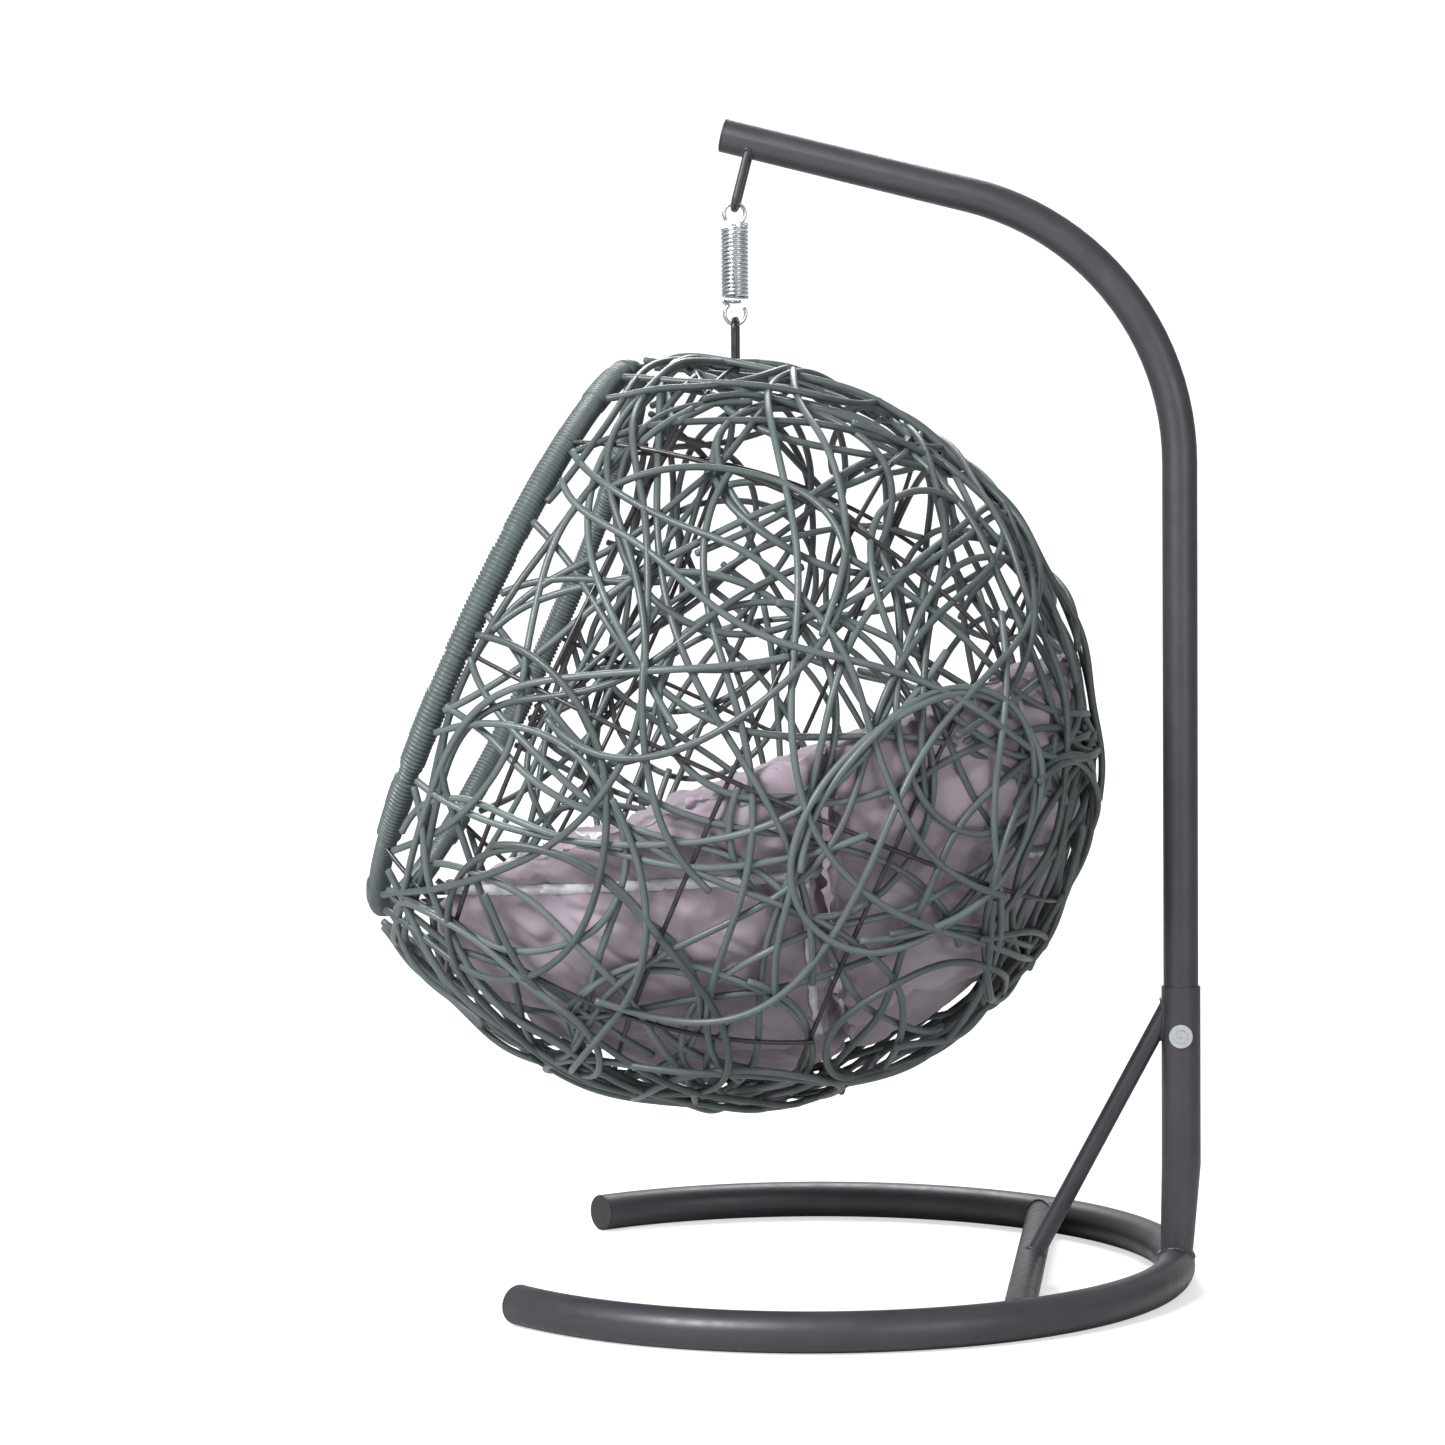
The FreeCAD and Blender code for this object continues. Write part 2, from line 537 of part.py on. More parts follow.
def make_bolt(post_outer):
    """Through bolt, a saddle washer each side and the nut."""
    bolt = doc.addObject("PartDesign::Body", "bolt_body")
    head = circle_sketch(bolt, "bolt_head_round", ["Sizes.head_diameter"])
    pad(bolt, "bolt_head", head, "Sizes.head_height")
    shank = circle_sketch(bolt, "bolt_shank_round", ["Sizes.bolt_diameter"])
    pad(bolt, "bolt_shank", shank,
        f"2 * ({bolt_seat()}) + Sizes.nut_height + Sizes.bolt_spare", True)
    socket = hexagon_sketch(bolt, "bolt_socket", "Sizes.socket_size")
    socket.setExpression("AttachmentOffset.Base.z", "Sizes.head_height")
    pocket(bolt, "bolt_socket_cut", socket, "Sizes.socket_depth")
    turn(bolt, Y_AXIS, 90)
    bind(bolt, Placement_Base_x=bolt_seat(), Placement_Base_y="Worked.mast_y",
         Placement_Base_z="Sizes.bolt_z")
    node(bolt, "mast_bolt")

    nut = doc.addObject("PartDesign::Body", "nut_body")
    pad(nut, "nut_blank", hexagon_sketch(nut, "nut_hexagon", "Sizes.nut_size"), "Sizes.nut_height")
    thread = circle_sketch(nut, "nut_round", ["Sizes.bolt_diameter"])
    thread.setExpression("AttachmentOffset.Base.z", "Sizes.nut_height")
    pocket(nut, "nut_bore", thread, "Sizes.nut_height")
    turn(nut, Y_AXIS, -90)
    bind(nut, Placement_Base_x=f"-({bolt_seat()})", Placement_Base_y="Worked.mast_y",
         Placement_Base_z="Sizes.bolt_z")
    node(nut, "mast_bolt_nut")

    washers = []
    for side, angle in (("right", 90), ("left", -90)):
        washer = doc.addObject("PartDesign::Body", f"washer_{side}_body")
        disc = circle_sketch(washer, f"washer_{side}_disc",
                             ["Sizes.washer_diameter", "Sizes.bolt_diameter + 2 * Sizes.bolt_clearance"])
        pad(washer, f"washer_{side}_pad", disc, "Worked.post_r + Sizes.washer_rise")
        recess = circle_sketch(washer, f"washer_{side}_round", ["Sizes.recess_diameter"])
        recess.setExpression("AttachmentOffset.Base.z", "Worked.post_r + Sizes.washer_rise")
        pocket(washer, f"washer_{side}_recess", recess, "Sizes.recess_depth")
        turn(washer, Y_AXIS, angle)
        bind(washer, Placement_Base_y="Worked.mast_y", Placement_Base_z="Sizes.bolt_z")
        washers.append(cut(f"washer_{side}", washer, post_outer))
    pair = doc.addObject("Part::Compound", "washer_pair")
    pair.Links = washers
    node(pair, "bolt_washers")


def bent_rod(name, rod, bend, leg):
    """A U of round rod in the XZ plane, its bend at the bottom about the origin."""
    body = doc.addObject("PartDesign::Body", name)
    path = sketch_on(body, "XZ_Plane", name + "_path")
    left, right = FreeCAD.Vector(-15, 0, 0), FreeCAD.Vector(15, 0, 0)
    rise = FreeCAD.Vector(0, 60, 0)
    path.addGeometry(Part.LineSegment(left + rise, left), False)
    arc = Part.Arc(left, FreeCAD.Vector(0, -15, 0), right)
    path.addGeometry(arc, False)
    path.addGeometry(Part.LineSegment(right, right + rise), False)
    path.addConstraint(Sketcher.Constraint("Tangent", 0, 2, 1, 1))
    path.addConstraint(Sketcher.Constraint("Tangent", 1, 2, 2, 1))
    path.addConstraint(Sketcher.Constraint("Coincident", 1, 3, -1, 1))
    path.addConstraint(Sketcher.Constraint("Vertical", 0))
    path.addConstraint(Sketcher.Constraint("Vertical", 2))
    path.addConstraint(Sketcher.Constraint("Equal", 0, 2))
    radius = path.addConstraint(Sketcher.Constraint("Radius", 1, 15))
    path.setExpression(f"Constraints[{radius}]", bend)
    length = path.addConstraint(Sketcher.Constraint("DistanceY", 2, 1, 2, 2, 60))
    path.setExpression(f"Constraints[{length}]", leg)
    section = sketch_on(body, "XY_Plane", name + "_section")
    section.setExpression("AttachmentOffset.Base.z", leg)
    index = section.addGeometry(Part.Circle(FreeCAD.Vector(-15, 0, 0), Z_AXIS, 5), False)
    section.addConstraint(Sketcher.Constraint("PointOnObject", index, 3, -1))
    place = section.addConstraint(Sketcher.Constraint("DistanceX", index, 3, -1, 1, 15))
    section.setExpression(f"Constraints[{place}]", bend)
    size = section.addConstraint(Sketcher.Constraint("Diameter", index, 10))
    section.setExpression(f"Constraints[{size}]", rod)
    doc.recompute()
    pipe = body.newObject("PartDesign::AdditivePipe", name + "_pipe")
    pipe.Profile = section
    pipe.Spine = (path, ["Edge1", "Edge2", "Edge3"])
    body.Tip = pipe
    return body


def make_hanger_hook(mast_solid):
    """U-shaped rod welded under the arm, square to it."""
    rod = bent_rod("hanger_rod", "Sizes.hook_rod", "Sizes.hook_bend",
                   "Sizes.hook_drop - Sizes.hook_bend")
    turn(rod, X_AXIS, -14.7, "-Sizes.arm_slope")
    bind(rod, Placement_Base_y="Worked.hang_y + Sizes.hook_bend * Worked.slope_sin",
         Placement_Base_z="Worked.hang_z + Sizes.hook_bend * Worked.slope_cos")
    node(cut("hanger_welded", rod, mast_solid), "hanger_hook")


# ---------------------------------------------------------------- spring

def spring_end(reach):
    """Wire from an open end ring, centred on the origin, to the flat turn on the coil below it.

    The ring lies in the YZ plane and the coil's end face is at z = -reach.
    """
    radius, half = worked.spring_ring_r, sizes.wire / 2
    start = -sizes.ring_start
    ring = Part.makeTorus(radius, half, FreeCAD.Vector(), Z_AXIS, 0, 360, sizes.ring_reach)
    ring.Placement = FreeCAD.Placement(FreeCAD.Vector(), FreeCAD.Rotation(Y_AXIS, Z_AXIS, X_AXIS, "XYZ"))
    ring.rotate(FreeCAD.Vector(), X_AXIS, start)
    first = FreeCAD.Vector(0, radius * math.cos(math.radians(start)),
                           radius * math.sin(math.radians(start)))
    face = -reach + half
    last = FreeCAD.Vector(0, worked.coil_r, face)
    step = last - first
    bridge = Part.makeCylinder(half, step.Length, first, step)
    lead = Part.makeTorus(worked.coil_r, half, FreeCAD.Vector(0, 0, face), Z_AXIS,
                          0, 360, sizes.lead_turn)
    lead.rotate(FreeCAD.Vector(0, 0, face), Z_AXIS, 90)
    corners = [Part.makeSphere(half, point) for point in (first, last)]
    return ring.multiFuse([bridge, lead] + corners).removeSplitter()


def make_spring():
    """Close-wound extension spring with an open ring at each end."""
    for label, reach, height, flip in (
            ("spring_top_hook", sizes.spring_ring_od / 2, worked.upper_ring_z, 0),
            ("spring_bottom_hook", sizes.spring_ring_od / 2 + sizes.lower_ring_gap,
             worked.lower_ring_z, 180)):
        hook = doc.addObject("Part::Feature", label)
        hook.Shape = spring_end(reach)
        turn(hook, X_AXIS, flip or 360)
        hook.Placement.Base = FreeCAD.Vector(0, worked.hang_y, height)
        node(hook, label)
    path = doc.addObject("Part::Helix", "coil_path")
    bind(path, Pitch="Sizes.coil_pitch", Height="Worked.coil_length", Radius="Worked.coil_r")
    section = doc.addObject("Part::Circle", "coil_section")
    turn(section, X_AXIS, 90)
    bind(section, Radius="Sizes.wire / 2", Placement_Base_x="Worked.coil_r")
    coil = doc.addObject("Part::Sweep", "coil")
    coil.Sections = [section]
    coil.Spine = (path, ["Edge1"])
    coil.Solid = True
    coil.Frenet = True
    turn(coil, Z_AXIS, 90)
    bind(coil, Placement_Base_y="Worked.hang_y", Placement_Base_z="Worked.coil_start_z")
    node(coil, "spring_coil")


# ---------------------------------------------------------------- basket

def half_space(name, distance):
    """A large block in front of a plane across the basket's axis, from the egg's centre."""
    made = block(name, BIG, BIG, BIG)
    bind(made, Placement_Base_z=distance)
    return made


def make_rings():
    """Three frame rings across the basket's axis; the front one carries the loop."""
    made = {}
    for label, along in (("front", worked.front_ring_z), ("middle", sizes.middle_ring_z),
                         ("rear", sizes.rear_ring_z)):
        scale = math.sqrt(1 - (along / worked.rings_depth) ** 2)
        loop = rod_loop(f"ring_{label}_rod", worked.rings_width * scale,
                        worked.rings_height * scale, sizes.rod_diameter / 2)
        loop.Placement.Base = FreeCAD.Vector(0, 0, along)
        ring = doc.addObject("Part::Compound", f"ring_{label}_set")
        ring.Links = [loop]
        made[label] = node(hang(ring), f"frame_ring_{label}")
    return made


def rib_loop(name, reach, turned, last=360.0):
    """A rib on the outer egg of rods, from the front of the egg's axis round to an angle.

    It rises from the axis, and is turned about it by a formula in degrees.
    """
    loop = rod_loop(name + "_rod", worked.ribs_depth, reach, sizes.rod_diameter / 2, last)
    loop.Placement.Rotation = FreeCAD.Rotation(Z_AXIS, Y_AXIS, FreeCAD.Vector(-1, 0, 0), "XYZ")
    made = doc.addObject("Part::Compound", name)
    made.Links = [loop]
    turn(made, Z_AXIS, 45, turned)
    return made


def rim_chord(name, x, y, axis, angle):
    """A short straight length of the wound rim where a rib meets it, turned along X or Y."""
    made = cylinder(name, "Worked.winding_r", "10 * Sizes.rod_diameter")
    turn(made, axis, angle)
    reach = "5 * Sizes.rod_diameter"
    along_x, along_y = (reach, "0") if axis is Y_AXIS else ("0", reach)
    bind(made, Placement_Base_x=f"{x} - {along_x}", Placement_Base_y=f"{y} - {along_y}",
         Placement_Base_z="Sizes.opening_depth")
    return made


def make_ribs(rim_solid):
    """One rib over the middle, one each side, and four slanting ones that stop at the rear ring."""
    front = half_space("before_opening", "Sizes.opening_depth")
    ends = [rim_chord(f"rim_{name}", "0", f"{sign} * Worked.rim_height", Y_AXIS, 90)
            for name, sign in (("top", 1), ("bottom", -1))]
    centre = rib_loop("centre_rib_loop", worked.ribs_height, "0")
    node(hang(cut("centre_rib", centre, fuse("centre_rib_ends", [front] + ends))), "rib_centre")
    ahead = fuse("rim_and_front", [front, rim_solid])
    at_centre_rib = 180 - math.degrees(math.asin(sizes.rod_diameter / 2 / worked.ribs_width))
    past_rear_ring = math.degrees(
        math.acos((sizes.rear_ring_z - sizes.rod_diameter) / worked.ribs_depth))
    for side, sign in (("right", 1), ("left", -1)):
        end = rim_chord(f"rim_{side}", f"{sign} * Worked.rim_width", "0", X_AXIS, -90)
        level = rib_loop(f"{side}_rib_loop", worked.ribs_width, f"{-sign} * 90", at_centre_rib)
        stopped = cut(f"{side}_rib", level, fuse(f"{side}_rib_end", [front, end]))
        node(hang(stopped), f"rib_{side}")
        for height, angle in (("upper", "Worked.slant_turn"),
                              ("lower", "(180 - Worked.slant_turn)")):
            slanting = rib_loop(f"{height}_{side}_rib_loop", worked.slant_reach,
                                f"{-sign} * {angle}", past_rear_ring)
            node(hang(cut(f"{height}_{side}_rib", slanting, ahead)), f"rib_{height}_{side}")


def make_rim():
    """Tube hoop round the opening, the cane wound tightly round it, and the ribs behind it."""
    def ring_at_opening(name, radius):
        loop = rod_loop(name + "_rod", worked.rim_width, worked.rim_height, radius)
        loop.Placement.Base = FreeCAD.Vector(0, 0, sizes.opening_depth)
        made = doc.addObject("Part::Compound", name)
        made.Links = [loop]
        return made

    hoop = ring_at_opening("hoop_outer", worked.hoop_r)
    bore = ring_at_opening("hoop_bore", worked.hoop_r - sizes.hoop_wall)
    node(hang(cut("hoop_tube", hoop, bore)), "rim_hoop")
    rim_solid = ring_at_opening("winding_outer", worked.winding_r)
    node(hang(cut("winding_sleeve", rim_solid, hoop)), "rim_winding")
    make_ribs(rim_solid)


def make_loop(front_ring):
    """Loop of rod that hangs in the spring's lower ring and is welded to the front ring."""
    rod = bent_rod("loop_bent", "Sizes.loop_rod", "Sizes.loop_bend", "Worked.loop_leg")
    turn(rod, Y_AXIS, 180)
    bind(rod, Placement_Base_y="Worked.hang_y",
         Placement_Base_z="Worked.loop_top_z - Sizes.loop_bend")
    node(cut("loop_welded", rod, front_ring), "hanging_loop")


def make_weave():
    """Woven skin: a thin egg, open in front, with a gap for the loop at the top."""
    shell = cut("egg_shell", ellipsoid("egg_outside", "0"), ellipsoid("egg_inside", "Sizes.skin"))
    opened = hang(cut("egg_open", shell, half_space("egg_front", "Worked.skin_front_z")))
    hole = cylinder("loop_gap", "Sizes.loop_hole", "Sizes.loop_above_centre")
    bind(hole, Placement_Base_y="Worked.hang_y", Placement_Base_z="Worked.basket_z")
    node(cut("egg_with_gap", opened, hole), "weave_shell")


def cushion_body(name, inset, behind_seam, from_seam):
    """One cushion as a solid, smaller all round by a formula.

    It lies between two eggs, under the sloping top edge, behind the opening and on one side of
    the seam.
    """
    depth = f"Sizes.cushion_inset + {inset}"
    front = half_space(name + "_front", f"Sizes.opening_depth - Sizes.cushion_setback - {inset}")
    outside = hang(cut(name + "_against_weave", ellipsoid(name + "_egg", depth), front))
    bottom = hang(ellipsoid(name + "_bottom", depth), "Sizes.cushion_lift")
    filled = common(name + "_filled", outside, bottom)
    scoop_inset = f"Sizes.cushion_inset + Sizes.cushion_thickness - {inset}"
    scoop = hang(ellipsoid(name + "_scoop", scoop_inset), "Sizes.cushion_lift")
    lying = cut(name + "_lying", filled, scoop)
    over = block(name + "_over", BIG, BIG, BIG)
    over.Placement.Rotation = FreeCAD.Rotation(X_AXIS, 21)
    # the block's lower face passes through the top edge line, wherever its own corner is
    bind(over, Placement_Rotation_Angle="Sizes.cushion_slope * 1 deg",
         Placement_Base_y=f"Worked.basket_y - {BIG} / 2 * cos(Sizes.cushion_slope * 1 deg)",
         Placement_Base_z=f"Worked.basket_z - Sizes.cushion_drop - {inset}"
         f" - {BIG} / 2 * sin(Sizes.cushion_slope * 1 deg)")
    topped = cut(name + "_topped", lying, over)
    away = block(name + "_away", BIG, BIG, BIG)
    edge = f"Worked.basket_y + Sizes.seam_setback + {from_seam}"
    bind(away, Placement_Base_y=edge if not behind_seam else f"{edge} - {BIG}",
         Placement_Base_z="-500")
    return cut(name + "_solid", topped, away)


def make_cushions():
    """Seat and back cushion, each a closed cover that is hollow inside."""
    for label, behind, sign in (("seat_cushion", False, -1), ("back_cushion", True, 1)):
        outside = cushion_body(label + "_outside", "0", behind, f"{sign} * Sizes.seam_gap / 2")
        hollow = cushion_body(label + "_hollow", "Sizes.cover", behind,
                              f"{sign} * (Sizes.seam_gap / 2 + Sizes.cover)")
        node(cut(label + "_cover", outside, hollow), label)


# ---------------------------------------------------------------- build, check and write

def check():
    """Stop if any object failed or any sub-part isn't a sound shape."""
    for thing in doc.Objects:
        if "Invalid" in thing.State or "Error" in thing.State:
            raise RuntimeError(f"{thing.Name} failed: {thing.State}")
    for thing in nodes:
        if thing.Shape.isNull() or not thing.Shape.isValid() or not thing.Shape.Solids:
            raise RuntimeError(f"{thing.Label} isn't a valid solid")


def write():
    """Write each sub-part to a STEP file named after it."""
    os.makedirs("parts", exist_ok=True)
    for thing in nodes:
        thing.Shape.exportStep(f"parts/{thing.Label}.step")
        print(thing.Label, len(thing.Shape.Solids), round(thing.Shape.Volume))


sizes = fill_sizes()
worked = fill_worked()
doc.recompute()

ring_solid, bar_solid = make_base()
post_outer = make_post(ring_solid, bar_solid)
mast_solid = make_mast()
make_bolt(post_outer)
make_hanger_hook(mast_solid)
make_spring()
frame_rings = make_rings()
make_rim()
make_loop(frame_rings["front"])
make_weave()
make_cushions()
doc.recompute()
check()
write()
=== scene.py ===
"""Looks of the hanging egg chair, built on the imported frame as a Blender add-on run as a script."""
import json
import math
import random

import bmesh
import bpy
import numpy as np
from mathutils import Matrix, Vector, noise


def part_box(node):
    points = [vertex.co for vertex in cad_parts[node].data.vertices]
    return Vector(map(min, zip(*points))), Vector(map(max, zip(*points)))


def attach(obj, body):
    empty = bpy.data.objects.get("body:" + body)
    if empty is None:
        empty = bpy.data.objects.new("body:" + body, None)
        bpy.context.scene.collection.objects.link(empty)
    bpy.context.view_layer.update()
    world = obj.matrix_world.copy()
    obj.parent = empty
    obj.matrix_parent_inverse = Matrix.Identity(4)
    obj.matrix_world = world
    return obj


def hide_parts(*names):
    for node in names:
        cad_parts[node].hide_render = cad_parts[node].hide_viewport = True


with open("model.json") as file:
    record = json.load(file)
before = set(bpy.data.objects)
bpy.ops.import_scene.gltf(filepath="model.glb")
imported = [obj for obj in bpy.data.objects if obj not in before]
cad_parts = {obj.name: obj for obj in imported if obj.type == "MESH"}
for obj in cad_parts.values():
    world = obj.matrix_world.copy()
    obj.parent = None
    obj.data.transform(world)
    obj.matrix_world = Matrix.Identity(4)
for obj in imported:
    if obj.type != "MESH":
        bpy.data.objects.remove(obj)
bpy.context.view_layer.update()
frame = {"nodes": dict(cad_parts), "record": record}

bl_info = {
    "name": "Hanging egg chair",
    "version": (1, 0, 0),
    "blender": (4, 5, 0),
    "location": "3D View > Sidebar > Egg chair",
    "description": "Adds the weave, cushions, welds and finishes of a hanging egg chair",
    "category": "Object",
}

CANE_STEP = 0.011  # metres from point to point along a cane
JOINTS = {joint["name"]: joint for joint in frame["record"]["behaviour"]["joints"]}


# ---------------------------------------------------------------- properties

class EggChairSizes(bpy.types.PropertyGroup):
    """Sizes that the visible pieces are made from."""

    egg_depth: bpy.props.FloatProperty(
        name="Half depth", description="Egg, along the axis of its opening",
        default=0.669, subtype="DISTANCE", unit="LENGTH")
    egg_height: bpy.props.FloatProperty(
        name="Half height", description="Egg, across its opening's axis",
        default=0.629, subtype="DISTANCE", unit="LENGTH")
    egg_width: bpy.props.FloatProperty(
        name="Half width", description="Egg, from side to side",
        default=0.560, subtype="DISTANCE", unit="LENGTH")
    egg_tilt: bpy.props.FloatProperty(
        name="Tilt", description="How far the basket faces up",
        default=math.radians(25), subtype="ANGLE", unit="ROTATION")
    egg_forward: bpy.props.FloatProperty(
        name="Forward", description="Centre of the egg in front of the hanging line",
        default=0.0516, subtype="DISTANCE", unit="LENGTH")
    egg_below_joint: bpy.props.FloatProperty(
        name="Below joint", description="Centre of the egg below the side-swing joint",
        default=0.67895, subtype="DISTANCE", unit="LENGTH")
    opening_depth: bpy.props.FloatProperty(
        name="Opening", description="Opening in front of the centre of the egg",
        default=0.369, subtype="DISTANCE", unit="LENGTH")
    rim_inset: bpy.props.FloatProperty(
        name="Rim inset", description="Rim hoop inside the egg's surface",
        default=0.032, subtype="DISTANCE", unit="LENGTH")
    winding_radius: bpy.props.FloatProperty(
        name="Winding", description="Radius of the wound rim",
        default=0.0165, subtype="DISTANCE", unit="LENGTH")
    winding_pitch: bpy.props.FloatProperty(
        name="Winding pitch", description="Rim winding, from turn to turn",
        default=0.0072, subtype="DISTANCE", unit="LENGTH")
    cane_diameter: bpy.props.FloatProperty(
        name="Cane", description="Diameter of the woven cane",
        default=0.0118, subtype="DISTANCE", unit="LENGTH")
    cane_count: bpy.props.IntProperty(
        name="Canes", description="How many canes are woven", default=118, min=1)
    cane_length: bpy.props.FloatProperty(
        name="Cane length", description="Mean length of one cane",
        default=1.75, subtype="DISTANCE", unit="LENGTH")
    weave_seed: bpy.props.IntProperty(
        name="Seed", description="Seed of the random weave", default=11)
    cushion_swell: bpy.props.FloatProperty(
        name="Swell", description="How far a cushion's skin may swell",
        default=0.022, subtype="DISTANCE", unit="LENGTH")


class EggChairColours(bpy.types.PropertyGroup):
    """Colours of the finishes."""

    coat: bpy.props.FloatVectorProperty(
        name="Coat", description="Powder coat of the stand",
        default=(0.050, 0.047, 0.056), subtype="COLOR", size=3)
    enamel: bpy.props.FloatVectorProperty(
        name="Enamel", description="Rods of the basket",
        default=(0.030, 0.027, 0.030), subtype="COLOR", size=3)
    zinc: bpy.props.FloatVectorProperty(
        name="Zinc", description="Spring, bolt and washers",
        default=(0.66, 0.70, 0.72), subtype="COLOR", size=3)
    cane: bpy.props.FloatVectorProperty(
        name="Cane", description="Woven cane",
        default=(0.078, 0.096, 0.098), subtype="COLOR", size=3)
    fabric: bpy.props.FloatVectorProperty(
        name="Fabric", description="Cushion covers",
        default=(0.330, 0.275, 0.325), subtype="COLOR", size=3)
    tape: bpy.props.FloatVectorProperty(
        name="Tape", description="Tapes along the cushion seams",
        default=(0.62, 0.62, 0.64), subtype="COLOR", size=3)
    plastic: bpy.props.FloatVectorProperty(
        name="Plastic", description="End caps",
        default=(0.022, 0.022, 0.024), subtype="COLOR", size=3)


def sizes():
    """The add-on's sizes in the current scene."""
    return bpy.context.scene.egg_chair_sizes


def colours():
    """The add-on's colours in the current scene."""
    return bpy.context.scene.egg_chair_colours


# ---------------------------------------------------------------- materials

class Finish:
    """A node material that is built up in small steps."""

    def __init__(self, name, colour, roughness, metallic=0.0):
        self.material = bpy.data.materials.get(name) or bpy.data.materials.new(name)
        self.material.use_nodes = True
        self.tree = self.material.node_tree
        self.tree.nodes.clear()
        self.shader = self.tree.nodes.new("ShaderNodeBsdfPrincipled")
        output = self.tree.nodes.new("ShaderNodeOutputMaterial")
        self.link(self.shader.outputs[0], output.inputs[0])
        self.shader.inputs["Base Color"].default_value = (*colour, 1)
        self.shader.inputs["Roughness"].default_value = roughness
        self.shader.inputs["Metallic"].default_value = metallic
        self.place = self.tree.nodes.new("ShaderNodeTexCoord").outputs["Object"]

    def link(self, start, end):
        """Join an output to an input."""
        self.tree.links.new(start, end)

    def noise(self, scale, detail=3.0):
        """A noise texture in metres."""
        made = self.tree.nodes.new("ShaderNodeTexNoise")
        made.inputs["Scale"].default_value = scale
        made.inputs["Detail"].default_value = detail
        self.link(self.place, made.inputs["Vector"])
        return made.outputs["Fac"]

    def wave(self, scale, turn):
        """Straight bands across a direction turned about each axis."""
        mapping = self.tree.nodes.new("ShaderNodeMapping")
        mapping.inputs["Rotation"].default_value = turn
        self.link(self.place, mapping.inputs["Vector"])
        made = self.tree.nodes.new("ShaderNodeTexWave")
        made.inputs["Scale"].default_value = scale
        self.link(mapping.outputs[0], made.inputs["Vector"])
        return made.outputs["Fac"]

    def attribute(self, name):
        """A value stored on the mesh."""
        made = self.tree.nodes.new("ShaderNodeAttribute")
        made.attribute_name = name
        return made.outputs["Fac"]

    def maths(self, operation, *values):
        """A maths node on numbers or sockets."""
        made = self.tree.nodes.new("ShaderNodeMath")
        made.operation = operation
        for socket, value in zip(made.inputs, values):
            if isinstance(value, (int, float)):
                socket.default_value = value
            else:
                self.link(value, socket)
        return made.outputs[0]

    def span(self, value, low, high, start=0.3, end=0.7):
        """Map a value from start..end to low..high."""
        made = self.tree.nodes.new("ShaderNodeMapRange")
        self.link(value, made.inputs["Value"])
        for name, number in (("From Min", start), ("From Max", end), ("To Min", low), ("To Max", high)):
            made.inputs[name].default_value = number
        return made.outputs[0]

    def shade(self, factor, colour, darker, lighter):
        """Colour the surface between a darker and a lighter tone of one colour."""
        made = self.tree.nodes.new("ShaderNodeMix")
        made.data_type = "RGBA"
        self.link(factor, made.inputs[0])
        made.inputs[6].default_value = (*[part * darker for part in colour], 1)
        made.inputs[7].default_value = (*[min(1, part * lighter) for part in colour], 1)
        self.link(made.outputs[2], self.shader.inputs["Base Color"])

    def rough(self, value):
        """Drive the roughness with a socket."""
        self.link(value, self.shader.inputs["Roughness"])

    def bump(self, height, distance, strength=1.0):
        """Bump the surface by a height in metres, on top of earlier bumps."""
        made = self.tree.nodes.new("ShaderNodeBump")
        made.inputs["Strength"].default_value = strength
        made.inputs["Distance"].default_value = distance
        self.link(height, made.inputs["Height"])
        normal = self.shader.inputs["Normal"]
        if normal.is_linked:
            self.link(normal.links[0].from_socket, made.inputs["Normal"])
        self.link(made.outputs[0], normal)


def coat_finish():
    """Satin powder coat with a fine sandy skin and slight clouding."""
    tone = colours().coat
    made = Finish("powder_coat", tone, 0.42, 0.25)
    made.shade(made.span(made.noise(14), 0, 1), tone, 0.90, 1.10)
    made.rough(made.span(made.noise(60, 5), 0.36, 0.50))
    made.bump(made.noise(900, 2), 0.00025, 0.5)
    made.bump(made.noise(220, 2), 0.0004, 0.35)
    made.shader.inputs["Coat Weight"].default_value = 0.15
    made.shader.inputs["Coat Roughness"].default_value = 0.35
    return made.material


def enamel_finish():
    """Glossy dark paint on thin rod."""
    tone = colours().enamel
    made = Finish("rod_enamel", tone, 0.3, 0.2)
    made.shade(made.span(made.noise(35), 0, 1), tone, 0.75, 1.6)
    made.rough(made.span(made.noise(90), 0.24, 0.42))
    made.bump(made.noise(500), 0.0002, 0.4)
    return made.material


def zinc_finish():
    """Bright zinc plate with faint drawing lines and dulled patches."""
    tone = colours().zinc
    made = Finish("zinc_plate", tone, 0.25, 1.0)
    made.shade(made.span(made.noise(70, 4), 0, 1), tone, 0.88, 1.08)
    made.rough(made.span(made.noise(120, 4), 0.20, 0.30))
    made.bump(made.noise(400, 3), 0.00005, 0.3)
    return made.material


def cane_finish():
    """Satin plastic cane with long streaks, a different tone for each cane."""
    tone = colours().cane
    made = Finish("cane_plastic", tone, 0.42)
    streak = made.noise(26, 4)
    fine = made.noise(420, 3)
    each = made.attribute("each")
    mixed = made.maths("ADD", made.maths("MULTIPLY", each, 0.62),
                       made.maths("MULTIPLY", streak, 0.46))
    made.shade(made.span(mixed, 0, 1, 0.10, 0.95), tone, 0.62, 1.55)
    made.rough(made.span(fine, 0.34, 0.50))
    made.bump(fine, 0.0005, 0.35)
    made.bump(made.noise(90, 2), 0.001, 0.25)
    return made.material


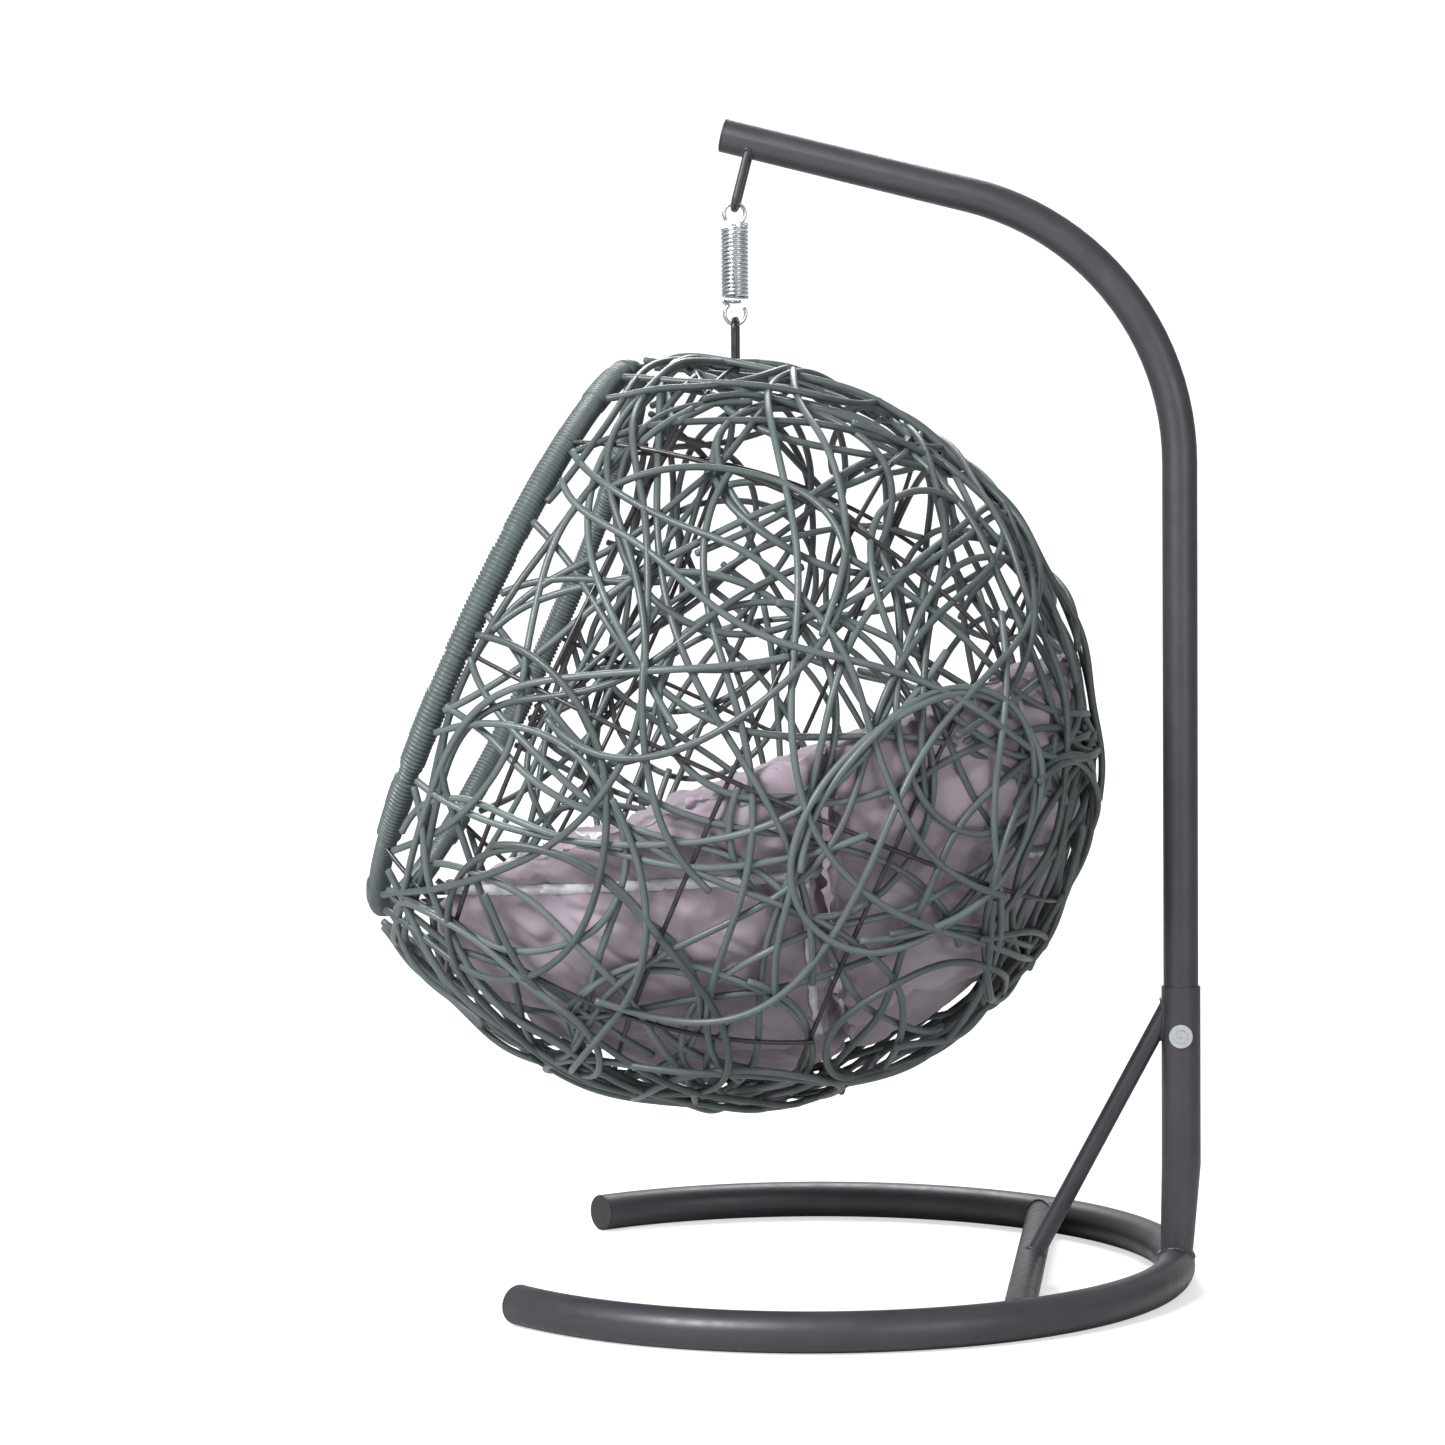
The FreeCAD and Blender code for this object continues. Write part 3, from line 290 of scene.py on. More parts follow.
def fabric_finish():
    """Plain-woven polyester with a fine twill, soft sheen and slight fading."""
    tone = colours().fabric
    made = Finish("cushion_fabric", tone, 0.88)
    twill = made.maths("MULTIPLY", made.wave(170, (0.6, 0.3, 0.8)), made.wave(150, (0.2, 1.1, -0.7)))
    cloud = made.noise(9, 4)
    tones = made.maths("ADD", made.maths("MULTIPLY", twill, 0.28), made.maths("MULTIPLY", cloud, 0.72))
    made.shade(made.span(tones, 0, 1, 0.2, 0.75), tone, 0.80, 1.20)
    made.rough(made.span(made.noise(40), 0.80, 0.95))
    made.bump(twill, 0.0005, 0.5)
    made.bump(made.noise(700), 0.0003, 0.4)
    made.shader.inputs["Sheen Weight"].default_value = 0.35
    made.shader.inputs["Sheen Roughness"].default_value = 0.45
    return made.material


def tape_finish():
    """Flat woven tape with a slight shine and cross ribs."""
    tone = colours().tape
    made = Finish("seam_tape", tone, 0.5)
    made.shade(made.span(made.noise(60), 0, 1), tone, 0.85, 1.15)
    made.rough(made.span(made.noise(200), 0.42, 0.6))
    made.bump(made.wave(260, (0.4, 0.9, 0.2)), 0.0003, 0.5)
    return made.material


def plastic_finish():
    """Black moulded plastic with a fine spark texture."""
    tone = colours().plastic
    made = Finish("cap_plastic", tone, 0.45)
    made.shade(made.span(made.noise(50), 0, 1), tone, 0.8, 1.4)
    made.rough(made.span(made.noise(300), 0.38, 0.55))
    made.bump(made.noise(1100), 0.0002, 0.5)
    return made.material


def floor_finish():
    """Pale matt floor with barely visible mottling that glows a little to the camera alone."""
    tone = (0.6, 0.6, 0.6)
    glow = 0.6
    made = Finish("studio_floor", tone, 0.6)
    made.shade(made.span(made.noise(2), 0, 1), tone, 0.99, 1.01)
    made.rough(made.span(made.noise(6), 0.55, 0.7))
    seen = made.tree.nodes.new("ShaderNodeLightPath").outputs["Is Camera Ray"]
    made.shader.inputs["Emission Color"].default_value = (1, 1, 1, 1)
    made.link(made.maths("MULTIPLY", seen, glow), made.shader.inputs["Emission Strength"])
    return made.material


def paint(obj, material):
    """Give every slot of an object one material."""
    if not obj.material_slots:
        obj.data.materials.append(material)
    for part in obj.material_slots:
        part.material = material


# ---------------------------------------------------------------- mesh helpers

def rings_along(points, closed=False):
    """Frames along a line of points: tangent, and two directions across it that don't twist."""
    points = np.asarray(points, float)
    if closed:
        tangents = np.roll(points, -1, 0) - np.roll(points, 1, 0)
    else:
        tangents = np.gradient(points, axis=0)
    tangents /= np.linalg.norm(tangents, axis=1)[:, None]
    side = np.cross(tangents[0], (0.0, 0.0, 1.0))
    if np.linalg.norm(side) < 0.1:
        side = np.cross(tangents[0], (1.0, 0.0, 0.0))
    sides = []
    for tangent in tangents:
        side = side - tangent * side.dot(tangent)
        side /= np.linalg.norm(side)
        sides.append(side)
    sides = np.array(sides)
    return tangents, sides, np.cross(tangents, sides)


def tube_mesh(points, radius, around=8, closed=False):
    """Vertices and faces of a tube round a line; radius is one number or one per point."""
    points = np.asarray(points, float)
    tangents, side, up = rings_along(points, closed)
    radii = np.broadcast_to(np.asarray(radius, float), (len(points),))
    if not closed:
        cap = radii[0] * 0.27
        points = np.vstack([points[0] - tangents[0] * cap, points,
                            points[-1] + tangents[-1] * cap])
        side = np.vstack([side[:1], side, side[-1:]])
        up = np.vstack([up[:1], up, up[-1:]])
        radii = np.concatenate([radii[:1] * 0.7, radii, radii[-1:] * 0.7])
    turns = np.arange(around) * 2 * math.pi / around
    circle = side[:, None] * np.cos(turns)[None, :, None] + up[:, None] * np.sin(turns)[None, :, None]
    vertices = (points[:, None] + circle * radii[:, None, None]).reshape(-1, 3)
    count = len(points)
    faces = []
    for row in range(count if closed else count - 1):
        following = (row + 1) % count
        for step in range(around):
            beside = (step + 1) % around
            faces.append((row * around + step, row * around + beside,
                          following * around + beside, following * around + step))
    if not closed:
        faces.append(tuple(range(around))[::-1])
        faces.append(tuple((count - 1) * around + step for step in range(around)))
    return vertices, faces


def new_mesh(name, parts, material, each=None):
    """One object from several (vertices, faces) parts, smooth, with a value for each part."""
    vertices, faces, values = [], [], []
    for number, (points, polygons) in enumerate(parts):
        start = len(vertices)
        vertices.extend(map(tuple, points))
        faces.extend(tuple(start + corner for corner in polygon) for polygon in polygons)
        values.extend([each[number] if each else 0.5] * len(points))
    mesh = bpy.data.meshes.new(name)
    mesh.from_pydata(vertices, [], faces)
    mesh.polygons.foreach_set("use_smooth", [True] * len(mesh.polygons))
    layer = mesh.attributes.new("each", "FLOAT", "POINT")
    layer.data.foreach_set("value", np.array(values, np.float32))
    mesh.update()
    made = bpy.data.objects.new(name, mesh)
    bpy.context.collection.objects.link(made)
    paint(made, material)
    return made


# ---------------------------------------------------------------- the egg

class Egg:
    """The basket's surface: local z points out of the opening, local y up and local x right."""

    def __init__(self):
        size = sizes()
        joint = JOINTS["swing_side"]["pos_m"]
        self.centre = Vector((0, joint[1] - size.egg_forward, joint[2] - size.egg_below_joint))
        self.half = np.array((size.egg_width, size.egg_height, size.egg_depth))
        self.turn = Matrix.Rotation(math.pi / 2 - size.egg_tilt, 3, "X")
        self.turn_table = np.array(self.turn)
        self.front = size.opening_depth

    def out(self, points):
        """Local points as world points."""
        return np.asarray(points) @ self.turn_table.T + np.array(self.centre)

    def inward(self, point):
        """A world point in local coordinates."""
        return np.array(self.turn.inverted() @ (Vector(point) - self.centre))

    def normal(self, local):
        """Outward normals at local points."""
        made = np.asarray(local) / self.half ** 2
        return made / np.linalg.norm(made, axis=-1, keepdims=True)

    def onto(self, local):
        """Local points moved onto the surface along their rays."""
        local = np.asarray(local)
        return local / np.linalg.norm(local / self.half, axis=-1, keepdims=True)

    def rim_point(self, angle, inset):
        """A local point of the rim's ellipse, an angle from +x towards +y."""
        scale = math.sqrt(1 - (self.front / self.half[2]) ** 2)
        return np.array(((self.half[0] * scale - inset) * math.cos(angle),
                         (self.half[1] * scale - inset) * math.sin(angle), self.front))


def wander(egg, length, start, heading, bends):
    """A line that wanders over the egg with changing bends and turns back before the opening."""
    point = egg.onto(start)
    normal = egg.normal(point)
    way = heading - normal * heading.dot(normal)
    way /= np.linalg.norm(way)
    steady, swing, period, phase = bends
    made = [point]
    edge = egg.front - 0.022
    turning = 0.13
    for number in range(int(length / CANE_STEP)):
        along = number * CANE_STEP
        bend = steady + swing * math.sin(2 * math.pi * along / period + phase)
        across = np.cross(normal, way)
        near = (point[2] - (edge - turning)) / turning
        if near > 0 and way[2] > -0.12:
            bend += -math.copysign(1, across[2]) * (2.0 + 12.0 * near * near) * (way[2] + 0.15)
        way = way + across * bend * CANE_STEP
        point = egg.onto(point + way * CANE_STEP)
        if point[2] > edge:
            break
        normal = egg.normal(point)
        way = way - normal * way.dot(normal)
        way /= np.linalg.norm(way)
        made.append(point)
    return np.array(made)


def weave_lines(egg):
    """Local centre lines of all canes, with their own depths under the surface."""
    size = sizes()
    rng = random.Random(size.weave_seed)
    radius = size.cane_diameter / 2
    fewest_points, dip = 25, 0.10
    lines = []
    for number in range(size.cane_count):
        length = size.cane_length * rng.uniform(0.55, 1.5)
        layer = rng.choice((0.0, 0.011, 0.021))
        loops = rng.random() < 0.42
        steady = rng.uniform(2.2, 4.8) * rng.choice((-1, 1)) if loops else rng.uniform(-1.4, 1.4)
        bends = (steady, rng.uniform(0.8, 3.2), rng.uniform(0.5, 1.3), rng.uniform(0, 6.3))
        if number % 3 == 0:
            turn = rng.uniform(0, 2 * math.pi)
            start = egg.rim_point(turn, 0)
            start[2] -= 0.024
            lean = rng.uniform(-1.1, 1.1)
            side = np.array((-math.sin(turn), math.cos(turn), 0))
            heading = np.array((0, 0, -1.0)) * math.cos(lean) + side * math.sin(lean)
        else:
            while True:
                raw = np.array([rng.gauss(0, 1) for _ in range(3)])
                start = egg.onto(raw / np.linalg.norm(raw) * egg.half)
                if start[2] < egg.front - 0.08:
                    break
            heading = np.array([rng.gauss(0, 1) for _ in range(3)])
        line = wander(egg, length, start, heading, bends)
        if len(line) < fewest_points:
            continue
        along = np.arange(len(line)) * CANE_STEP
        depth = radius + 0.001 + layer + 0.0045 * np.sin(along / rng.uniform(0.035, 0.06)
                                                         + rng.uniform(0, 6.3)) + 0.0045
        # near the opening every cane dips onto the wound rim
        near = np.clip((line[:, 2] - (egg.front - dip)) / dip, 0, 1)
        near = near * near * (3 - 2 * near)
        depth = depth * (1 - near) + (size.rim_inset - size.winding_radius - radius * 0.2) * near
        # loose ends stand a little proud
        tail = np.exp(-along / 0.03) + np.exp(-(along[-1] - along) / 0.03)
        depth = np.maximum(depth - 0.004 * tail, radius * 0.9)
        lines.append(line - egg.normal(line) * depth[:, None])
    return lines


def seam_height(y):
    """Height of the seam round the outside of the cushions, which rises a little to the back."""
    return 0.690 + 0.06 * (y + 0.30)


def seam_distance(egg, point):
    """How far a world point on a cushion is from the nearest sewn line, in metres."""
    x, y, z = point
    local = egg.inward(point)
    outside = np.linalg.norm(local / (egg.half - 0.10)) > 1
    if outside:
        return min(abs(z - seam_height(y)), abs(abs(x) - 0.16) + (0.02 if z > 0.5 else 0.0))
    return min(abs(abs(x) - 0.19), abs(z - 0.62 - 0.4 * (y + 0.1)))


# ---------------------------------------------------------------- operators

class EGGCHAIR_OT_stage(bpy.types.Operator):
    """Add the camera, the floor and soft studio light."""

    bl_idname = "egg_chair.stage"
    bl_label = "Stage and camera"

    def execute(self, context):
        self.add_camera(context)
        self.add_floor()
        self.add_lights(context)
        return {"FINISHED"}

    def add_camera(self, context):
        """A long lens from the chair's right, a little above its middle."""
        camera = bpy.data.cameras.new("camera")
        camera.lens = 95.17
        camera.sensor_width = 36
        camera.clip_end = 60
        made = bpy.data.objects.new("camera", camera)
        context.collection.objects.link(made)
        eye = Vector((6.3188, 0.6769, 1.2101))
        yaw, pitch, roll = (math.radians(angle) for angle in (7.0367, -2.5046, -0.4298))
        ahead = Vector((-math.cos(yaw) * math.cos(pitch), -math.sin(yaw) * math.cos(pitch),
                        math.sin(pitch)))
        level = Vector((-math.sin(yaw), math.cos(yaw), 0))
        upright = level.cross(ahead)
        right = level * math.cos(roll) + upright * math.sin(roll)
        above = upright * math.cos(roll) - level * math.sin(roll)
        made.matrix_world = Matrix((
            (right.x, above.x, -ahead.x, eye.x),
            (right.y, above.y, -ahead.y, eye.y),
            (right.z, above.z, -ahead.z, eye.z),
            (0, 0, 0, 1)))
        context.scene.camera = made

    def add_floor(self):
        """A pale floor that curves up a long way behind the chair."""
        floor_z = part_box("base_ring")[0][2]
        front, back, radius, top, half_width, steps = 9.0, -3.0, 3.0, 9.0, 12.0, 12
        profile = [(front, 0.0), (back, 0.0)]
        for step in range(1, steps + 1):
            angle = step / steps * math.pi / 2
            profile.append((back - radius * math.sin(angle), radius - radius * math.cos(angle)))
        profile.append((back - radius, top))
        vertices = [(x, y, z + floor_z) for x, z in profile for y in (-half_width, half_width)]
        faces = [(2 * row, 2 * row + 1, 2 * row + 3, 2 * row + 2) for row in range(len(profile) - 1)]
        new_mesh("studio_floor", [(vertices, faces)], floor_finish())

    def add_lights(self, context):
        """A white surround, a large key from the upper left and a softer fill."""
        world = bpy.data.worlds.new("studio_world")
        world.use_nodes = True
        nodes, links = world.node_tree.nodes, world.node_tree.links
        background = nodes["Background"]
        background.inputs["Color"].default_value = (1, 1, 1, 1)
        # plain white to the camera, dimmer as a light
        strength = nodes.new("ShaderNodeMath")
        strength.operation = "MULTIPLY_ADD"
        as_light, as_seen = 0.37, 1.10
        strength.inputs[1].default_value = as_seen - as_light
        strength.inputs[2].default_value = as_light
        links.new(nodes.new("ShaderNodeLightPath").outputs["Is Camera Ray"], strength.inputs[0])
        links.new(strength.outputs[0], background.inputs["Strength"])
        context.scene.world = world
        middle = Vector((0, 0, 0.95))
        for name, place, power, width in (("key", (4.2, -2.6, 4.2), 470, 1.8),
                                          ("fill", (4.5, 3.8, 2.2), 70, 2.6),
                                          ("back", (-2.6, -0.6, 4.0), 170, 2.2)):
            light = bpy.data.lights.new(name, "AREA")
            light.energy = power
            light.size = width
            made = bpy.data.objects.new(name, light)
            made.location = place
            aim = middle - Vector(place)
            made.rotation_euler = aim.to_track_quat("-Z", "Y").to_euler()
            context.collection.objects.link(made)
        context.scene.view_settings.view_transform = "Standard"


class EGGCHAIR_OT_metal(bpy.types.Operator):
    """Finish the stand, the rods, the spring and the fittings."""

    bl_idname = "egg_chair.metal"
    bl_label = "Metal and plastic finishes"

    def execute(self, context):
        finishes = {
            "stand_coat": coat_finish(),
            "frame_enamel": enamel_finish(),
            "zinc": zinc_finish(),
            "cap_plastic": plastic_finish(),
        }
        for part in frame["record"]["subparts"]:
            finish = finishes.get(part["material_slot"])
            if finish:
                paint(frame["nodes"][part["node"]], finish)
        return {"FINISHED"}


class EGGCHAIR_OT_welds(bpy.types.Operator):
    """Lay a weld bead round each place where one tube or rod stands on another."""

    bl_idname = "egg_chair.welds"
    bl_label = "Weld beads"

    def execute(self, context):
        ring_low, ring_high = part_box("base_ring")
        ring_z, ring_r = (ring_low[2] + ring_high[2]) / 2, (ring_high[2] - ring_low[2]) / 2
        bar_low, bar_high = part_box("base_crossbar")
        bar_y, bar_r = (bar_low[1] + bar_high[1]) / 2, (bar_high[2] - bar_low[2]) / 2
        bar_middle = Vector((0, bar_y, ring_z))
        foot = Vector((0, ring_high[1] - ring_r, 0.25))
        foot_r = 0.0275
        mast_y = (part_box("mast_bolt")[0][1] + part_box("mast_bolt")[1][1]) / 2
        brace_low, brace_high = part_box("brace")
        brace_r = (brace_high[0] - brace_low[0]) / 2
        brace_rise, along_brace = 0.5, 0.2
        lean = Vector((0, mast_y - bar_y, brace_rise - ring_z)).normalized()
        across = Vector((1, 0, 0))
        beads = [
            (bar_middle, across, bar_r, "base_ring", 0.0036),
            (bar_middle, -across, bar_r, "base_ring", 0.0036),
            (foot, Vector((0, 0, -1)), foot_r, "base_ring", 0.0040),
            (bar_middle + lean * along_brace, -lean, brace_r, "base_crossbar", 0.0032),
            (bar_middle + lean * along_brace, lean, brace_r, "lower_post", 0.0032),
        ]
        arm_slope = math.radians(14.7)
        upward = Vector((0, math.sin(arm_slope), math.cos(arm_slope)))
        hang = Vector(JOINTS["swing_fore_aft"]["pos_m"])
        hook_half_width, below_arm, hook_r = 0.018, 0.04, 0.006
        for side in (-1, 1):
            start = hang + across * side * hook_half_width + upward * below_arm
            beads.append((start, upward, hook_r, "mast", 0.0030))
        made = new_mesh("weld_beads", [self.bead(*bead) for bead in beads], coat_finish())
        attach(made, "stand")
        return {"FINISHED"}

    def bead(self, start, axis, radius, target, thickness):
        """A lumpy bead where a tube of that radius, going along the axis, meets a node."""
        side = axis.orthogonal().normalized()
        other = axis.cross(side)
        node = frame["nodes"][target]
        inverse = node.matrix_world.inverted()
        points = []
        spacing = 0.0022
        count = max(24, int(2 * math.pi * radius / spacing))
        for number in range(count):
            angle = number / count * 2 * math.pi
            out = side * math.cos(angle) + other * math.sin(angle)
            origin = start + out * (radius + thickness * 0.2)
            hit, place, *_ = node.ray_cast(inverse @ origin, axis)
            if hit:
                points.append(node.matrix_world @ place)
        if len(points) < count * 0.8:
            raise RuntimeError(f"no seam found on {target}")
        rng = random.Random(target + str(radius))
        radii = [thickness * (0.85 + 0.28 * abs(math.sin(number * 0.9)) + rng.uniform(-0.06, 0.06))
                 for number in range(len(points))]
        return tube_mesh([tuple(point) for point in points], radii, 8, closed=True)


class EGGCHAIR_OT_rim(bpy.types.Operator):
    """Wind thin cane tightly round the rim hoop, with thicker bound places."""

    bl_idname = "egg_chair.rim"
    bl_label = "Wound rim"

    def execute(self, context):
        size = sizes()
        egg = Egg()
        count = 4200
        angles = np.linspace(0, 2 * math.pi, count, endpoint=False)
        line = np.array([egg.rim_point(angle, size.rim_inset) for angle in angles])
        steps = np.linalg.norm(np.roll(line, -1, 0) - line, axis=1)
        along = np.concatenate([[0], np.cumsum(steps)[:-1]])
        total = along[-1] + steps[-1]
        turns = round(total / size.winding_pitch)
        rng = random.Random(size.weave_seed + 1)
        bound_places, groove_depth = 56, 0.0038
        swell = np.zeros(count)
        for _ in range(bound_places):
            middle, half = rng.uniform(0, total), rng.uniform(0.018, 0.065)
            apart = np.abs((along - middle + total / 2) % total - total / 2)
            swell = np.maximum(swell, rng.uniform(0.0020, 0.0052) * (apart < half))
        _, side, up = rings_along(line, closed=True)
        around = 20
        rows = []
        for step in range(around):
            angle = step / around * 2 * math.pi
            phase = along / total * turns * 2 * math.pi + angle
            groove = np.abs(np.sin(phase / 2)) ** 0.6
            radius = size.winding_radius + 0.0004 - groove_depth * (1 - groove) + swell
            rows.append(line + (side * math.cos(angle) + up * math.sin(angle)) * radius[:, None])
        vertices = egg.out(np.stack(rows, 1).reshape(-1, 3))
        faces = []
        for row in range(count):
            following = (row + 1) % count
            for step in range(around):
                beside = (step + 1) % around
                faces.append((row * around + step, row * around + beside,
                              following * around + beside, following * around + step))
        made = new_mesh("wound_rim", [(vertices, faces)], cane_finish())
        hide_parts("rim_winding")
        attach(made, "basket")
        return {"FINISHED"}


class EGGCHAIR_OT_weave(bpy.types.Operator):
    """Weave the canes at random over the egg, in three layers that dip and rise."""

    bl_idname = "egg_chair.weave"
    bl_label = "Woven cane"

    def execute(self, context):
        size = sizes()
        egg = Egg()
        rng = random.Random(size.weave_seed + 2)
        parts, values = [], []
        for line in weave_lines(egg):
            parts.append(tube_mesh(egg.out(line), size.cane_diameter / 2, 10))
            values.append(rng.random())
        made = new_mesh("cane_weave", parts, cane_finish(), values)
        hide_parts("weave_shell")
        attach(made, "basket")
        return {"FINISHED"}


class EGGCHAIR_OT_cushions(bpy.types.Operator):
    """Swell the seat and back cushions from their solids and gather their cloth at the seams."""

    bl_idname = "egg_chair.cushions"
    bl_label = "Cushions"

    def execute(self, context):
        finish = fabric_finish()
        mesh_size, room_to_swell = 0.011, 0.012
        for node, name, seed in (("seat_cushion", "seat_pad", 3.1), ("back_cushion", "back_pad", 8.7)):
            made = self.outer_skin(node, name)
            self.remesh(context, made, mesh_size)
            self.shrink(made, room_to_swell)
            self.swell(context, made)
            self.fold(made, seed)
            self.subdivide(context, made)
            made.data.polygons.foreach_set("use_smooth", [True] * len(made.data.polygons))
            made.data.materials.clear()
            paint(made, finish)
            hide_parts(node)
            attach(made, "basket")
        return {"FINISHED"}

    def outer_skin(self, node, name):
        """A new object from the largest closed surface of a hollow solid."""
        table = bmesh.new()
        table.from_mesh(frame["nodes"][node].data)
        bmesh.ops.remove_doubles(table, verts=table.verts, dist=1e-5)
        left = set(table.verts)
        islands = []
        while left:
            todo = [left.pop()]
            island = list(todo)
            while todo:
                for edge in todo.pop().link_edges:
                    for vertex in edge.verts:
                        if vertex in left:
                            left.remove(vertex)
                            island.append(vertex)
                            todo.append(vertex)
            islands.append(island)
        islands.sort(key=lambda group: max(v.co.x for v in group) - min(v.co.x for v in group))
        bmesh.ops.delete(table, geom=[v for group in islands[:-1] for v in group], context="VERTS")
        mesh = bpy.data.meshes.new(name)
        table.to_mesh(mesh)
        table.free()
        made = bpy.data.objects.new(name, mesh)
        bpy.context.collection.objects.link(made)
        return made

    def apply(self, context, obj, modifier):
        """Bake one modifier into the mesh."""
        with context.temp_override(object=obj, active_object=obj, selected_objects=[obj]):
            bpy.ops.object.modifier_apply(modifier=modifier.name)

    def remesh(self, context, obj, size):
        """Give the skin an even mesh and soften its edges."""
        modifier = obj.modifiers.new("even", "REMESH")
        modifier.mode = "VOXEL"
        modifier.voxel_size = size
        self.apply(context, obj, modifier)
        smooth = obj.modifiers.new("soft", "SMOOTH")
        smooth.iterations = 6
        smooth.factor = 0.6
        self.apply(context, obj, smooth)

    def shrink(self, obj, distance):
        """Draw the skin in along its normals."""
        count = len(obj.data.vertices)
        places, normals = np.empty(count * 3), np.empty(count * 3)
        obj.data.vertices.foreach_get("co", places)
        obj.data.vertex_normals.foreach_get("vector", normals)
        obj.data.vertices.foreach_set("co", places - normals * distance)
        obj.data.update()

    def swell(self, context, obj):
        """Blow the skin up a little with its seams held, and cap how far it moves."""
        egg = Egg()
        seam_half_width, last_frame = 0.009, 16
        before = np.array([vertex.co for vertex in obj.data.vertices])
        held = obj.vertex_groups.new(name="held")
        for number, point in enumerate(before):
            if seam_distance(egg, point) < seam_half_width:
                held.add([number], 1.0, "REPLACE")
        modifier = obj.modifiers.new("swell", "CLOTH")
        cloth = modifier.settings
        cloth.quality = 4
        cloth.mass = 0.25
        cloth.tension_stiffness = 12
        cloth.compression_stiffness = 6
        cloth.bending_stiffness = 0.15
        cloth.shrink_min = -0.07
        cloth.use_pressure = True
        cloth.uniform_pressure_force = 4
        cloth.vertex_group_mass = "held"
        cloth.effector_weights.gravity = 0
        modifier.collision_settings.use_collision = False
        modifier.collision_settings.use_self_collision = False
        modifier.point_cache.frame_start = 1
        modifier.point_cache.frame_end = last_frame
        for number in range(1, last_frame + 1):
            context.scene.frame_set(number)
        shown = obj.evaluated_get(context.evaluated_depsgraph_get())
        after = np.array([vertex.co for vertex in shown.data.vertices])
        context.scene.frame_set(1)
        obj.modifiers.remove(modifier)
        obj.vertex_groups.clear()
        moved = after - before
        length = np.linalg.norm(moved, axis=1, keepdims=True)
        limit = sizes().cushion_swell
        moved *= limit * np.tanh(length / limit) / np.maximum(length, 1e-9)
        obj.data.vertices.foreach_set("co", (before + moved).ravel())
        obj.data.update()

    def fold(self, obj, seed):
        """Wrinkle the cloth: broad puffs everywhere and gathers that run out from the seams."""
        egg = Egg()
        gathered = 0.035
        places = np.array([vertex.co for vertex in obj.data.vertices])
        normals = np.array([vertex.normal for vertex in obj.data.vertices])
        local = (places - np.array(egg.centre)) @ egg.turn_table
        for number, (place, point) in enumerate(zip(places, local)):
            near = math.exp(-seam_distance(egg, place) / gathered)
            broad = noise.noise(Vector(place) * 7 + Vector((seed, 0, 0)))
            creased = 1 - abs(noise.noise(Vector((point[0] * 9, point[1] * 24, point[2] * 9 + seed))))
            gathers = noise.noise(Vector((point[0] * 34, point[1] * 7, point[2] * 34 + seed)))
            rise = 0.008 * broad - 0.012 * max(0, creased - 0.72) / 0.28 + 0.007 * gathers * near \
                - 0.010 * near * near
            places[number] = place + normals[number] * rise
        obj.data.vertices.foreach_set("co", places.ravel())
        obj.data.update()

    def subdivide(self, context, obj):
        """Round the skin's facets."""
        modifier = obj.modifiers.new("finer", "SUBSURF")
        modifier.levels = 1
        self.apply(context, obj, modifier)


